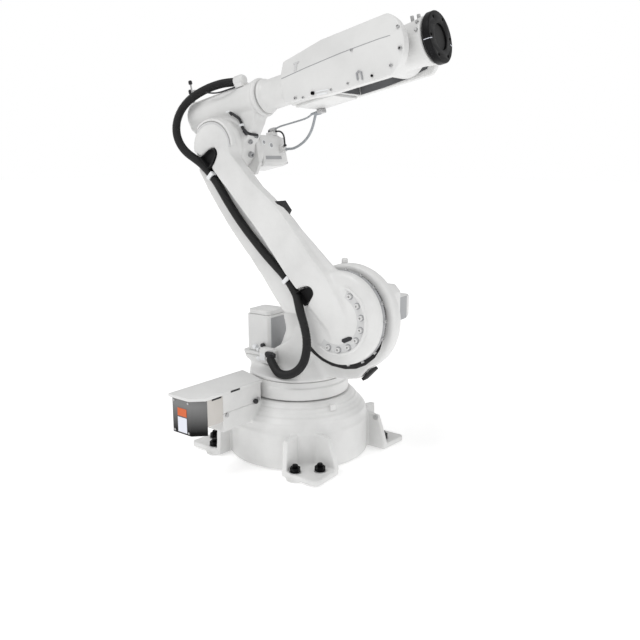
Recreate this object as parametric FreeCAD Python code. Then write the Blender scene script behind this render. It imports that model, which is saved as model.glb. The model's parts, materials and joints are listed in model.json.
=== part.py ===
"""Six-axis jointed-arm robot, floor standing: one STEP file for each sub-part."""
import FreeCAD, Part
import Sketcher  # noqa: F401  (registers the sketch object type)
import math
import os

V = FreeCAD.Vector
DOC = FreeCAD.newDocument("robot_arm")
OUT = "parts"

# ---------------------------------------------------------------- sizes
# name, value (mm or degrees), meaning
SIZES = [
    ("axis_two_forward", 320, "axis 1 to axis 2, horizontal"),
    ("axis_two_height", 680, "floor to axis 2"),
    ("lower_arm_reach", 975, "axis 2 to axis 3"),
    ("upper_offset", 175, "axis 3 to the axis 4 line"),
    ("upper_arm_reach", 890, "axis 3 to axis 5 along the axis 4 line"),
    ("flange_reach", 200, "axis 5 to the tool face"),
    ("turret_turn", -86.5, "rest turn of the turret about axis 1"),
    ("arm_lean", -44, "rest lean of the lower arm, backward negative"),
    ("upper_rise", 12, "rest rise of the upper arm above level"),
    ("seam_gap", 6, "gap between pieces that turn on each other"),
    ("touch_gap", 0.3, "gap between curved faces on one body"),
    ("foot_half_x", 340, "half length over the feet"),
    ("foot_half_y", 375, "half width over the feet"),
    ("foot_width", 165, "foot plate, along each outer edge"),
    ("foot_thickness", 26, "foot plate"),
    ("rib_thickness", 25, "ribs beside each foot"),
    ("pad_height", 8, "machined pads under the feet"),
    ("pad_radius", 40, "machined pads under the feet"),
    ("bolt_long", 317, "floor bolt, far coordinate"),
    ("bolt_short", 242, "floor bolt, near coordinate"),
    ("bolt_hole", 13, "floor bolt hole radius"),
    ("drum_radius", 324, "base drum"),
    ("drum_height", 172, "base drum wall"),
    ("neck_radius", 246, "base neck"),
    ("neck_top", 288, "top of the base neck"),
    ("base_bore", 150, "cable bore through the base"),
    ("box_far", 160, "rear box, left side"),
    ("box_near", 2, "rear box, right side"),
    ("box_end", -627, "rear box, end face"),
    ("box_top", 372, "rear box, under the lid"),
    ("cover_bottom", 218, "end cover, lower edge"),
    ("cover_chamfer", 49, "end cover, cut corner"),
    ("lid_thickness", 14, "rear box lid"),
    ("ring_radius", 232, "turret ring"),
    ("ring_height", 78, "turret ring"),
    ("ear_radius", 233, "turret wall around axis 2"),
    ("ear_drop", 10, "centre of the turret wall's round edge below axis 2"),
    ("drum_top", 390, "turret drum, top face"),
    ("drum_side", 213, "turret drum radius"),
    ("buttress_height", 494, "top of the front buttress on the turret"),
    ("ear_near", -88, "turret wall, gear side"),
    ("ear_far", -18, "turret wall, motor side"),
    ("hub_radius", 150, "turret hub behind the wall"),
    ("hub_far", 100, "turret hub, far end"),
    ("motor_width", 140, "axis 1 motor, across flats"),
    ("axis_two_motor_width", 122, "axis 2 motor, across flats"),
    ("axis_two_motor_drop", 22, "axis 2 motor centre below axis 2"),
    ("axis_three_motor_width", 148, "axis 3 motor, across flats"),
    ("axis_three_motor_drop", 26, "axis 3 motor centre below axis 3"),
    ("arm_disc_radius", 200, "lower arm disc at axis 2"),
    ("arm_face_radius", 150, "lower arm bolt face at axis 2"),
    ("arm_bolt_face", -176, "lower arm bolt face at axis 2"),
    ("arm_near", -190, "lower arm raised face at axis 2, near side"),
    ("arm_body_near", -168, "lower arm body, near side"),
    ("arm_back", -45, "lower arm, side toward the turret"),
    ("arm_front", 94, "lower arm, front wall"),
    ("arm_rear", -62, "lower arm, rear wall beside the harness"),
    ("ledge_rear", -206, "lower arm ledge, outer edge"),
    ("ledge_near", -124, "lower arm ledge, face under the harness"),
    ("elbow_disc_radius", 130, "lower arm disc at axis 3"),
    ("elbow_face_radius", 106, "lower arm face at axis 3"),
    ("elbow_near", -160, "lower arm face at axis 3, near side"),
    ("elbow_back", -92, "lower arm top end, side toward the elbow"),
    ("thick_end", 620, "height on the arm where it thins for the elbow to pass"),
    ("hose_line", -97, "dress hose centre at the clamps, across the arm"),
    ("harness_radius", 19, "dress hose outside radius"),
    ("barrel_radius", 85, "elbow barrel along axis 4"),
    ("barrel_rear", -200, "elbow barrel, rear end"),
    ("cover_start", 440, "forearm covers, rear edge from axis 3"),
    ("cover_knee", 200, "from the cover's rear edge to its tallest section"),
    ("elbow_hub_radius", 102, "elbow hub around axis 3"),
    ("elbow_hub_far", 28, "elbow hub, end under the motor plate"),
    ("barrel_front", 206, "elbow barrel, front end"),
    ("tube_radius", 66, "forearm neck tube"),
    ("fork_half", 118, "fork inside half width"),
    ("cheek_near", -165, "near cover outside"),
    ("cheek_far", 150, "far cover outside"),
    ("cheek_radius", 128, "fork end around axis 5"),
    ("wrist_radius", 92, "wrist housing"),
    ("wrist_half", 106, "wrist housing half width"),
    ("flange_radius", 98, "tool flange disc"),
    ("flange_depth", 32, "tool flange disc thickness"),
    ("flange_bore", 50, "tool flange centring bore radius"),
    ("flange_bolt_circle", 160, "tool flange bolt circle diameter"),
]


def fill_sheet():
    """Write every size in the sheet and return the values read back from it."""
    sheet = DOC.addObject("Spreadsheet::Sheet", "Sizes")
    for row, (name, value, meaning) in enumerate(SIZES, start=1):
        sheet.set(f"A{row}", meaning)
        sheet.set(f"B{row}", str(value))
        sheet.setAlias(f"B{row}", name)
    DOC.recompute()
    return {name: float(sheet.get(name)) for name, _, _ in SIZES}


S = fill_sheet()

# ---------------------------------------------------------------- frames
Y_AXIS = V(0, 1, 0)
BASE = FreeCAD.Placement()
TURRET = FreeCAD.Placement(V(0, 0, 0), FreeCAD.Rotation(V(0, 0, 1), S["turret_turn"]))


def step(parent, offset, lean=0.0):
    """Place a child frame at offset in its parent, turned about the cross axis."""
    return parent.multiply(FreeCAD.Placement(offset, FreeCAD.Rotation(Y_AXIS, lean)))


LOWER = step(TURRET, V(S["axis_two_forward"], 0, S["axis_two_height"]), S["arm_lean"])
ELBOW = step(LOWER, V(0, 0, S["lower_arm_reach"]), -S["upper_rise"] - S["arm_lean"])
UPPER = step(ELBOW, V(0, 0, S["upper_offset"]))
WRIST = step(UPPER, V(S["upper_arm_reach"], 0, 0))
FLANGE = step(WRIST, V(S["flange_reach"], 0, 0))

# ---------------------------------------------------------------- helpers
NODES = []


def new_body(label, frame):
    """Start an empty body for one sub-part, placed at its frame."""
    body = DOC.addObject("PartDesign::Body", label)
    body.Label = label
    body.Placement = frame
    if hasattr(body, "AllowCompound"):
        body.AllowCompound = True
    NODES.append(body)
    return body


def origin_plane(body, role):
    """Return the body's own origin plane with this role."""
    return [item for item in body.Origin.OriginFeatures if item.Role == role][0]


def new_sketch(body, role, offset):
    """Add a sketch on an origin plane, shifted by offset in the plane's own axes."""
    sketch = body.newObject("Sketcher::SketchObject", "Sketch")
    sketch.AttachmentSupport = [(origin_plane(body, role), "")]
    sketch.MapMode = "FlatFace"
    sketch.AttachmentOffset = FreeCAD.Placement(offset, FreeCAD.Rotation())
    return sketch


def draw_polygon(sketch, points):
    """Draw a closed outline through the points."""
    vectors = [V(x, y, 0) for x, y in points]
    for start, end in zip(vectors, vectors[1:] + vectors[:1]):
        sketch.addGeometry(Part.LineSegment(start, end), False)


def draw_circle(sketch, centre, radius):
    """Draw one full circle."""
    sketch.addGeometry(Part.Circle(V(centre[0], centre[1], 0), V(0, 0, 1), radius), False)


# plane role, sign of its normal along the body axis
PLANES = {"Z": ("XY_Plane", 1), "Y": ("XZ_Plane", -1), "X": ("YZ_Plane", 1)}


def extrude(body, axis, start, end, polygons=(), circles=(), cut=False):
    """Add or cut a prism from start to end along a body axis."""
    role, sign = PLANES[axis]
    low = start if sign > 0 else end
    sketch = new_sketch(body, role, V(0, 0, sign * low))
    for points in polygons:
        draw_polygon(sketch, points)
    for centre, radius in circles:
        draw_circle(sketch, centre, radius)
    kind = "PartDesign::Pocket" if cut else "PartDesign::Pad"
    feature = body.newObject(kind, "Cut" if cut else "Add")
    feature.Profile = sketch
    feature.Length = end - start
    if cut:
        feature.Reversed = True
    DOC.recompute()
    return feature


def turn(body, axis, points, centre=(0.0, 0.0), cut=False):
    """Add or cut a turned shape; points are (along, radius), centre is off axis."""
    role = "YZ_Plane" if axis == "Y" else "XZ_Plane"
    offset = {
        "X": V(0, centre[1], -centre[0]),
        "Y": V(0, centre[1], centre[0]),
        "Z": V(centre[0], 0, -centre[1]),
    }[axis]
    sketch = new_sketch(body, role, offset)
    if axis == "Z":
        points = [(radius, along) for along, radius in points]
    draw_polygon(sketch, points)
    kind = "PartDesign::Groove" if cut else "PartDesign::Revolution"
    feature = body.newObject(kind, "TurnCut" if cut else "Turn")
    feature.Profile = sketch
    feature.ReferenceAxis = (sketch, ["V_Axis" if axis == "Z" else "H_Axis"])
    feature.Angle = 360
    DOC.recompute()
    return feature


def octagon(half_x, half_y, corner, centre=(0.0, 0.0)):
    """Rectangle with cut corners."""
    cx, cy = centre
    return [
        (cx - half_x + corner, cy - half_y), (cx + half_x - corner, cy - half_y),
        (cx + half_x, cy - half_y + corner), (cx + half_x, cy + half_y - corner),
        (cx + half_x - corner, cy + half_y), (cx - half_x + corner, cy + half_y),
        (cx - half_x, cy + half_y - corner), (cx - half_x, cy - half_y + corner),
    ]


def arc_points(centre, radius, first, last, count=24):
    """Points on an arc, angles in degrees."""
    angles = [math.radians(first + (last - first) * i / count) for i in range(count + 1)]
    return [(centre[0] + radius * math.cos(a), centre[1] + radius * math.sin(a)) for a in angles]


def bend_path(points):
    """Join straight runs with tangent arcs; return one wire and its smallest radius."""
    parts = []
    smallest = float("inf")
    last = points[0]
    for i in range(1, len(points) - 1):
        before = points[i] - points[i - 1]
        after = points[i + 1] - points[i]
        half_turn = before.getAngle(after) / 2
        if half_turn < 1e-4:
            continue
        reach = 0.45 * min(before.Length, after.Length)
        radius = reach / math.tan(half_turn)
        smallest = min(smallest, radius)
        start = points[i] - V(before).normalize() * reach
        end = points[i] + V(after).normalize() * reach
        bisector = (V(after).normalize() - V(before).normalize()).normalize()
        centre = points[i] + bisector * (radius / math.cos(half_turn))
        middle = centre - bisector * radius
        if (start - last).Length > 1e-3:
            parts.append(Part.LineSegment(last, start).toShape())
        parts.append(Part.Arc(start, middle, end).toShape())
        last = end
    parts.append(Part.LineSegment(last, points[-1]).toShape())
    return Part.Wire(parts), smallest


def hose(label, frame, points, radius, others=()):
    """Sweep a round section along bent runs; others are further runs of the same node."""
    solids = []
    for run, size in [(points, radius)] + list(others):
        path, bend = bend_path(run)
        begin = run[0]
        direction = run[1] - run[0]
        ring = Part.Wire(Part.Circle(begin, direction, size).toShape())
        solid = path.makePipeShell([ring], True, True)
        section = math.pi * size * size
        print(f"{label}: length {path.Length:.0f} mm, smallest bend radius {bend:.0f} mm "
              f"(diameter {2 * size:.0f}), volume ratio "
              f"{solid.Volume / (section * path.Length):.3f}")
        solids.append(solid)
    item = DOC.addObject("Part::Feature", label)
    item.Label = label
    item.Shape = solids[0] if len(solids) == 1 else Part.makeCompound(solids)
    item.Placement = frame
    NODES.append(item)
    return item


def mirrored_outlines(points):
    """The four copies of an outline mirrored across both base axes."""
    signs = [(1, 1), (-1, 1), (-1, -1), (1, -1)]
    return [[(sx * x, sy * y) for x, y in points] for sx, sy in signs]


def local(frame, target, point):
    """Express a point given in one frame in the axes of another frame."""
    return target.inverse().multVec(frame.multVec(point))


# ---------------------------------------------------------------- base
def floor_bolts():
    """The eight floor bolt centres."""
    far, near = S["bolt_long"], S["bolt_short"]
    pair = [(far, near), (near, far)]
    return [(sx * x, sy * y) for x, y in pair for sx in (1, -1) for sy in (1, -1)]


def build_base():
    """Base casting: drum, stepped neck, four feet with ribs, rear bridge."""
    body = new_body("base_casting", BASE)
    wall, neck, top = S["drum_radius"], S["neck_radius"], S["neck_top"]
    rise = S["drum_height"]
    pad = S["pad_height"]
    turn(body, "Z", [
        (pad, wall - 60), (pad, wall), (rise - 4, wall), (rise + 6, wall - 5),
        (rise + 40, wall - 11), (rise + 46, wall - 18), (rise + 60, wall - 27),
        (rise + 64, neck + 42), (rise + 76, neck + 36), (rise + 80, neck + 28),
        (rise + 92, neck + 24), (rise + 96, neck + 14), (rise + 106, neck + 10),
        (rise + 110, neck), (top, neck), (top, S["base_bore"]),
        (rise + 30, S["base_bore"]), (rise - 6, wall - 60),
    ])
    hx, hy, plate = S["foot_half_x"], S["foot_half_y"], pad + S["foot_thickness"]
    wide = S["foot_width"]
    inner_x, inner_y = hx - wide, hy - wide
    deep = wall * 0.83
    foot = [(inner_x, hy - 8), (hx - 14, hy), (hx, hy - 14), (hx, inner_y - 25),
            (deep, inner_y - 25), (inner_x, deep)]
    for outline in mirrored_outlines(foot):
        extrude(body, "Z", pad, plate, [outline])
    ribs = [
        ("Y", inner_y - 25, [(deep - 10, plate - 1), (hx - 2, plate - 1), (hx - 10, rise - 6),
                             (deep - 10, rise + 2)]),
        ("X", inner_x, [(deep - 10, plate - 1), (hy - 4, plate - 1), (hy - 18, plate + 50),
                        (hy - 48, rise - 6), (deep - 10, rise + 2)]),
    ]
    for axis, place, outline in ribs:
        both = [outline, [(-across, z) for across, z in outline]]
        extrude(body, axis, place, place + S["rib_thickness"], both)
        extrude(body, axis, -place - S["rib_thickness"], -place, both)
    pads = [(centre, S["pad_radius"]) for centre in floor_bolts()]
    extrude(body, "Z", 0, pad, circles=pads)
    holes = [(centre, S["bolt_hole"]) for centre in floor_bolts()]
    extrude(body, "Z", -1, plate + 90, circles=holes, cut=True)
    far, near = S["box_far"], S["box_near"]
    bridge = [(-490, near + 2), (-490, far - 2), (-200, far - 2), (-215, near + 2)]
    extrude(body, "Z", 205, top, [bridge])
    return body


def build_axis_one_stop():
    """Small stop block on the neck."""
    face = S["neck_radius"] + 28
    frame = FreeCAD.Placement(V(0, 0, 0), FreeCAD.Rotation(V(0, 0, 1), -108))
    stop = new_body("axis_one_stop", frame)
    extrude(stop, "Z", S["drum_height"] + 80, S["drum_height"] + 108, [[
        (face - 12, -13), (face + 12, -13), (face + 12, 13), (face - 12, 13)]])
    turn(stop, "Z", [(0, 0), (0, face + S["touch_gap"]), (400, face + S["touch_gap"]), (400, 0)],
         cut=True)


def build_rear_box():
    """Connector box behind the base with its end cover, lid and two plain tags."""
    far, near, end = S["box_far"], S["box_near"], S["box_end"]
    top = S["box_top"]
    bridge = new_body("rear_bridge", BASE)
    edge = S["ring_radius"] + 22
    upper = [(-490, near + 2), (-490, far - 2), (-math.sqrt(edge ** 2 - far ** 2), far - 2),
             (-edge, near + 2)]
    extrude(bridge, "Z", S["neck_top"], top, [upper])
    box = new_body("rear_box", BASE)
    start = S["box_end"] + S["cover_chamfer"]
    extrude(box, "Z", 256, top, [[(start, near), (start, far), (-490, far), (-490, near)]])
    cover = new_body("connector_cover", BASE)
    cut = S["cover_chamfer"]
    extrude(cover, "Z", S["cover_bottom"], top, [[
        (end, far), (end, near + cut), (end + cut, near), (end + cut, far)]])
    lid = new_body("rear_box_lid", BASE)
    over = 8
    extrude(lid, "Z", top, top + S["lid_thickness"], [[
        (end - 14, far + over), (end - 14, near + cut - 6), (end + cut - 14, near - over),
        (-edge, near - over), (-math.sqrt(edge ** 2 - far ** 2), far + over)]])
    tags = [("tag_orange", 296, 330), ("tag_white", 226, 291)]
    for label, low, high in tags:
        tag = new_body(label, BASE)
        extrude(tag, "X", end - 1.5, end, [[(74, low), (128, low), (128, high), (74, high)]])


# ---------------------------------------------------------------- turret
def build_turret():
    """Turning ring, frame casting with the axis 2 wall, and the small fittings."""
    ring = new_body("turret_ring", TURRET)
    low = S["neck_top"] + S["seam_gap"]
    high = low + S["ring_height"]
    radius = S["ring_radius"]
    turn(ring, "Z", [(low, 140), (low, radius), (low + 50, radius), (low + 55, radius - 6),
                     (high, radius - 6), (high, 140)])
    frame = new_body("turret_frame", TURRET)
    x2, z2 = S["axis_two_forward"], S["axis_two_height"]
    side, flat = S["drum_side"], S["drum_top"]
    turn(frame, "Z", [(high, 0), (high, side), (flat - 8, side), (flat, side - 8), (flat, 0)])
    rise = S["buttress_height"]
    turn(frame, "Z", [(high, 0), (high, radius - 6), (flat - 6, radius - 6), (rise, 162),
                      (rise, 0)])
    extrude(frame, "Z", flat, rise + 10, [[(-300, -300), (104, -300), (150, -60), (150, 300),
                                           (-300, 300)]], cut=True)
    ear = S["ear_radius"]
    middle = (x2 + 2, z2 - S["ear_drop"])
    wall = [(-150, flat - 6), (205, flat - 6), (225, flat + 3), (318, flat + 8), (381, 412)]
    wall += arc_points(middle, ear - 12, -57, 180)
    wall += [(58, 636), (20, 540), (-110, 460)]
    near, far = S["ear_near"], S["ear_far"]
    extrude(frame, "Y", near, far, [wall])
    turn(frame, "Y", [(near, 0), (near, ear - 12), (near + 5, ear - 4), (near + 14, ear),
                      (far - 24, ear), (far, ear - 14), (far, 0)], middle)
    turn(frame, "Y", [(far - 2, 0), (far - 2, S["hub_radius"] + 20),
                      (far + 30, S["hub_radius"]), (S["hub_far"], S["hub_radius"] - 10),
                      (S["hub_far"], 0)], (x2, z2))
    web = [(-84, flat - 6), (215, flat - 6), (x2 + 60, z2 - 130), (x2 - 120, z2 - 90),
           (x2 - 160, z2 - 10), (-10, 652), (-60, 640), (-42, 567), (-80, 476)]
    extrude(frame, "Y", far - 22, 62, [web])
    turn(frame, "Z", [(high, 0), (high, 58), (high + 20, 58), (high + 42, 114), (high + 52, 118),
                      (high + 60, 110), (high + 60, 0)], (-170, 0))
    motor_base = high + 60
    half, gap = S["motor_width"] / 2, S["touch_gap"]
    extrude(frame, "Z", motor_base, motor_base + 16,
            [octagon(half + 18 + gap, half + 18 + gap, 20, (-182, 0))], cut=True)
    extrude(frame, "Z", motor_base + 16, 700, [octagon(half + gap, half + gap, 14, (-182, 0))],
            cut=True)
    flange = new_body("axis_one_motor_flange", TURRET)
    extrude(flange, "Z", motor_base, motor_base + 16, [octagon(half + 18, half + 18, 20, (-182, 0))])
    motor = new_body("axis_one_motor", TURRET)
    extrude(motor, "Z", motor_base + 16, 622, [octagon(half, half, 14, (-182, 0))])
    cap = new_body("axis_one_motor_cap", TURRET)
    extrude(cap, "Z", 622, 644, [octagon(half - 6, half - 6, 14, (-182, 0))])
    gear = new_body("axis_two_gear", TURRET)
    turn(gear, "Y", [(near - 18, 0), (near - 18, 186), (near, 190), (near, 0)], (x2, z2))
    half = S["axis_two_motor_width"] / 2
    adapter = new_body("axis_two_adapter", TURRET)
    far = S["hub_far"]
    extrude(adapter, "Y", far, far + 90, [octagon(108, 108, 30, (x2, z2))])
    motor = new_body("axis_two_motor", TURRET)
    shaft = (x2, z2 - S["axis_two_motor_drop"])
    extrude(motor, "Y", far + 90, 345, [octagon(half, half, 12, shaft)])
    cap = new_body("axis_two_motor_cap", TURRET)
    extrude(cap, "Y", 345, 370, [octagon(half - 5, half - 5, 12, shaft)])
    bracket = new_body("hose_bracket", TURRET)
    extrude(bracket, "Y", near - 26, near, [octagon(44, 36, 10, (-96, 446))])
    turn(bracket, "Z", [(high, 0), (high, 118 + gap), (motor_base, 118 + gap), (motor_base, 0)],
         (-170, 0), cut=True)
    slab = new_body("turret_buffer", TURRET)
    extrude(slab, "Y", near + 14, S["ear_far"] - 14, [[
        (386, 412), (437, 467), (448, 457), (396, 402)]])
    stub = new_body("lifting_stub", TURRET)
    base = middle[1] + ear - 14
    turn(stub, "Z", [(base, 0), (base, 14), (base + 26, 14), (base + 32, 10), (base + 32, 0)],
         (x2 - 34, (near + S["ear_far"]) / 2))
    turn(stub, "Y", [(-200, 0), (-200, ear + gap), (200, ear + gap), (200, 0)], middle, cut=True)
    return motor_base


# ---------------------------------------------------------------- lower arm
def build_lower_arm():
    """Side-mounted lower arm with its two discs, harness ledge and pockets."""
    arm = new_body("lower_arm_casting", LOWER)
    reach = S["lower_arm_reach"]
    near, back = S["arm_body_near"], S["arm_back"]
    front, rear, ledge = S["arm_front"], S["arm_rear"], S["ledge_rear"]
    disc_back = S["ear_near"] - 18 - S["seam_gap"]
    disc, face = S["arm_disc_radius"], S["arm_face_radius"]
    main = [(rear, 40), (rear, reach - 60), (rear + 30, reach), (0, reach), (front - 32, reach - 60),
            (front - 28, 700), (front - 6, 570), (front, 480), (front + 2, 300), (front, 40)]
    extrude(arm, "Y", near, disc_back, [main])
    nose = [(rear, 300), (front, 300), (front - 2, 130), (front - 18, 50), (front - 40, -20),
            (10, -62), (-40, -72), (-76, -48), (rear, 0)]
    extrude(arm, "Y", S["arm_near"], near + 4, [nose])
    extrude(arm, "X", rear, front, [[(near + 4, 298), (S["arm_near"], 298), (near, 520),
                                     (near + 4, 520)]])
    run_out = [(S["arm_near"] - 1, 60), (S["arm_bolt_face"], -70), (S["arm_near"] - 1, -80)]
    extrude(arm, "X", rear - 40, front + 10, [run_out], cut=True)
    flare = [(0, 40), (rear, 300), (front + 4, 400), (front + 14, 278), (front + 18, 215),
             (front + 25, 150), (front + 30, 60)]
    extrude(arm, "Y", -135, disc_back, [flare])
    turn(arm, "Y", [(disc_back, 0), (disc_back, disc), (disc_back - 38, disc),
                    (disc_back - 50, disc - 12), (S["arm_bolt_face"] + 4, face + 6),
                    (S["arm_bolt_face"], face), (S["arm_bolt_face"], 0)])
    thick, low = S["thick_end"], 280
    upper = [(rear, low), (rear, thick), (front - 54, thick), (front - 38, 540), (front - 36, 400),
             (front - 28, low)]
    extrude(arm, "Y", disc_back - 2, back, [upper])
    thin = S["elbow_back"]
    upper = [(rear, thick - 40), (rear, reach), (0, reach), (front - 36, reach - 60),
             (front - 36, 560)]
    extrude(arm, "Y", disc_back - 2, thin, [upper])
    shelf = [(-60, 110), (ledge + 36, 140), (ledge - 26, 200), (ledge - 22, 276),
             (ledge - 9, 393), (ledge - 2, 498), (ledge, 620), (ledge + 6, 712),
             (ledge + 28, 880), (ledge + 50, 985), (ledge + 90, reach + 20), (0, reach), (0, 60)]
    extrude(arm, "Y", S["ledge_near"], disc_back, [shelf])
    behind = [(ledge + 8, low), (ledge, low + 40), (ledge, 560), (ledge + 6, thick), (0, thick),
              (0, low)]
    extrude(arm, "Y", disc_back - 2, back, [behind])
    behind = [(ledge, 560), (ledge + 20, reach - 130), (ledge + 50, reach - 40), (0, reach),
              (0, 560)]
    extrude(arm, "Y", disc_back - 2, thin, [behind])
    top, top_face = S["elbow_disc_radius"], S["elbow_face_radius"]
    turn(arm, "Y", [(thin, 0), (thin, top - 5), (thin - 5, top), (S["elbow_near"] + 34, top),
                    (S["elbow_near"], top_face), (S["elbow_near"], 0)], (0, reach))
    low_pocket = [(-240, 120), (-240, 214), (-134, 222), (-81, 216), (-39, 204), (-6, 186),
                  (4, 164), (-6, 142), (-52, 130), (-102, 124)]
    extrude(arm, "Y", -200, -132, [low_pocket], cut=True)
    high_pocket = [(-240, -95), (-240, 85), (-128, 85), (-98, 66), (-80, 34), (-70, 12), (-46, 6),
                   (-11, 1), (12, -13), (16, -31), (6, -49), (-30, -61), (-62, -65), (-66, -95)]
    high_pocket = [(x, reach + z) for x, z in high_pocket]
    extrude(arm, "Y", -200, S["ledge_near"], [high_pocket], cut=True)
    slot = [(-34, -86), (-22, -84), (2, -98), (10, -108), (2, -113), (-10, -110), (-32, -97)]
    extrude(arm, "Y", S["arm_near"] - 2, S["arm_bolt_face"] + 14, [slot], cut=True)
    seat = [(front - 30, 512), (front - 8, 518), (front - 4, 572), (front - 30, 580)]
    extrude(arm, "Y", -142, -68, [seat], cut=True)
    buffer = new_body("arm_buffer", LOWER)
    extrude(buffer, "Y", -142, -68, [seat])
    return arm


def build_harness():
    """Dress hose: clipped run on the arm and the two free loops."""
    size = S["harness_radius"]
    rest = S["ledge_near"] - size - 2
    wall = S["hose_line"]
    top = S["lower_arm_reach"]
    run = [V(wall, rest, 273), V(wall, rest, 318), V(wall - 7, rest, 368),
           V(wall - 14, rest, 424), V(wall - 19, rest, 500), V(wall - 22, rest, 590),
           V(wall - 20, rest, 676), V(wall - 13, rest, 758), V(wall - 5, rest, top - 157),
           V(wall, rest, top - 114), V(wall, rest, top - 72)]
    hose("harness_run", LOWER, run, size)
    for label, z in (("clamp_low", 284), ("clamp_high", top - 85)):
        clamp = new_body(label, LOWER)
        face = S["ledge_near"]
        outside, inside = wall - size - 5, wall + size + 4
        extrude(clamp, "Z", z - 9, z + 9, [[
            (outside, face), (outside + 8, rest - size - 5), (inside, rest - size - 5),
            (inside, face)]])
        extrude(clamp, "Z", z - 20, z + 20, circles=[((wall, rest), size + S["touch_gap"])],
                cut=True)
    low_loop = [
        V(-62, -130, 440), V(1, -180, 420), V(48, -211, 410),
        V(103, -224, 414), V(155, -226, 438), V(192, -225, 481), V(208, -224, 536),
        V(209, -223, 593), V(195, -223, 648), V(168, -212, 697), V(135, -182, 733),
        local(LOWER, TURRET, V(wall, rest - 6, 214)), local(LOWER, TURRET, V(wall, rest, 269))]
    hose("harness_lower_loop", TURRET, low_loop, size)
    high_loop = [
        local(LOWER, ELBOW, V(wall, rest, top - 69.5)), V(-78, -145, -66), V(-118, -150, -27),
        V(-162, -150, 9), V(-197, -146, 53), V(-218, -138, 105), V(-218, -125, 160),
        V(-196, -108, 209), V(-156, -91, 245), V(-106, -76, 266), V(-52, -62, 278),
        V(3, -52, 282), V(56, -44, 279), V(107.5, -40, 268.5)]
    hose("harness_upper_loop", ELBOW, high_loop, size)


# ---------------------------------------------------------------- elbow
def build_elbow():
    """Elbow housing carrying axis 3 hub, axis 4 barrel, motor and fittings."""
    elbow = new_body("elbow_housing", ELBOW)
    rise = S["upper_offset"]
    rear, front, barrel = S["barrel_rear"], S["barrel_front"], S["barrel_radius"]
    turn(elbow, "X", [(rear, 0), (rear, barrel - 20), (rear + 20, barrel - 6),
                      (front - 30, barrel - 6), (front, barrel), (front, 0)], (0, rise))
    side = [(rear + 6, rise + 30), (rear + 30, rise + 60), (60, rise + 62), (front - 6, rise + 58),
            (front - 6, rise - 76), (180, 66), (130, 10), (60, -40), (-60, 0), (-140, 60),
            (rear + 6, rise - 50)]
    gap, hub_far = S["elbow_back"] + S["seam_gap"], S["elbow_hub_far"]
    extrude(elbow, "Y", -62, hub_far, [side])
    turn(elbow, "Y", [(gap, 0), (gap, S["elbow_hub_radius"] + 18), (-40, S["elbow_hub_radius"] + 6),
                      (hub_far, S["elbow_hub_radius"]), (hub_far, 0)])
    neck = new_body("neck_ring", ELBOW)
    turn(neck, "X", [(front, 0), (front, barrel), (front + 12, barrel),
                     (front + 18, barrel - 8), (front + 18, 0)], (0, rise))
    half = S["axis_three_motor_width"] / 2
    shaft = (0, -S["axis_three_motor_drop"])
    adapter = new_body("axis_three_adapter", ELBOW)
    plate = [(-108, -92), (-72, -138), (70, -138), (104, -96), (110, 44), (96, 62), (-92, 62),
             (-108, 44)]
    extrude(adapter, "Y", hub_far, hub_far + 20, [plate])
    turn(adapter, "Y", [(hub_far + 19, 0), (hub_far + 19, 88), (100, 84), (104, 80), (104, 0)],
         shaft)
    motor = new_body("axis_three_motor", ELBOW)
    extrude(motor, "Y", 104, 270, [octagon(half, half, 14, shaft)])
    cap = new_body("axis_three_motor_cap", ELBOW)
    extrude(cap, "Y", 270, 296, [octagon(half - 5, half - 5, 14, shaft)])
    post = new_body("breather_post", ELBOW)
    turn(post, "Z", [(rise + 62, 0), (rise + 62, 9), (rise + 178, 9), (rise + 178, 0)],
         (-176, -25))
    shell = barrel - 6 + S["touch_gap"]
    turn(post, "X", [(-300, 0), (-300, shell), (400, shell), (400, 0)], (0, rise), cut=True)
    socket = new_body("hose_socket", ELBOW)
    turn(socket, "X", [(112, 0), (112, 25), (148, 25), (160, 18), (160, 0)], (-40, rise + 92))
    extrude(socket, "Z", rise + 62.5, rise + 80, [[(114, -64), (114, -18), (158, -18), (158, -64)]])
    turn(socket, "X", [(-300, 0), (-300, shell), (400, shell), (400, 0)], (0, rise), cut=True)
    build_elbow_cables(half)


def build_elbow_cables(half):
    """Connectors on the axis 3 motor and the cables that cross to the forearm."""
    high = half - S["axis_three_motor_drop"]
    top = new_body("cable_glands", ELBOW)
    extrude(top, "Y", 226, 262, [[(18, high), (18, high + 32), (26, high + 40), (62, high + 40),
                                  (62, high)]])
    plug = half + 34
    extrude(top, "X", half, plug, [[(236, -40), (264, -40), (264, -8), (236, -8)]])
    hose("motor_cable", ELBOW, [V(62.3, 250, high + 18), V(81, 250, high + 17.5),
                                V(97, 252, high + 6), V(104, 253, high - 12),
                                V(103, 252, high - 34), V(101, 252, -7.7)], 4)
    belly = S["upper_offset"] - 108
    thin = [V(62.3, 234, high + 28), V(84, 233, high + 29), V(110, 222, high + 30),
            V(158, 202, high + 26), V(214, 176, high + 20), V(270, 148, 62), V(326, 120, 56),
            V(376, 94, 54), V(413, 66, 56)]
    thick = [V(plug + 0.4, 246, -30), V(plug + 18, 245, -31), V(147, 236, -36),
             V(174, 222, -39), V(218, 203, -37), V(266, 180, -30), V(314, 154, -16),
             V(356, 128, 4), V(392, 102, 30), V(424, 78, belly - 12)]
    hose("cable_bridge", ELBOW, thin, 4, [(thick, 6)])


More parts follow.
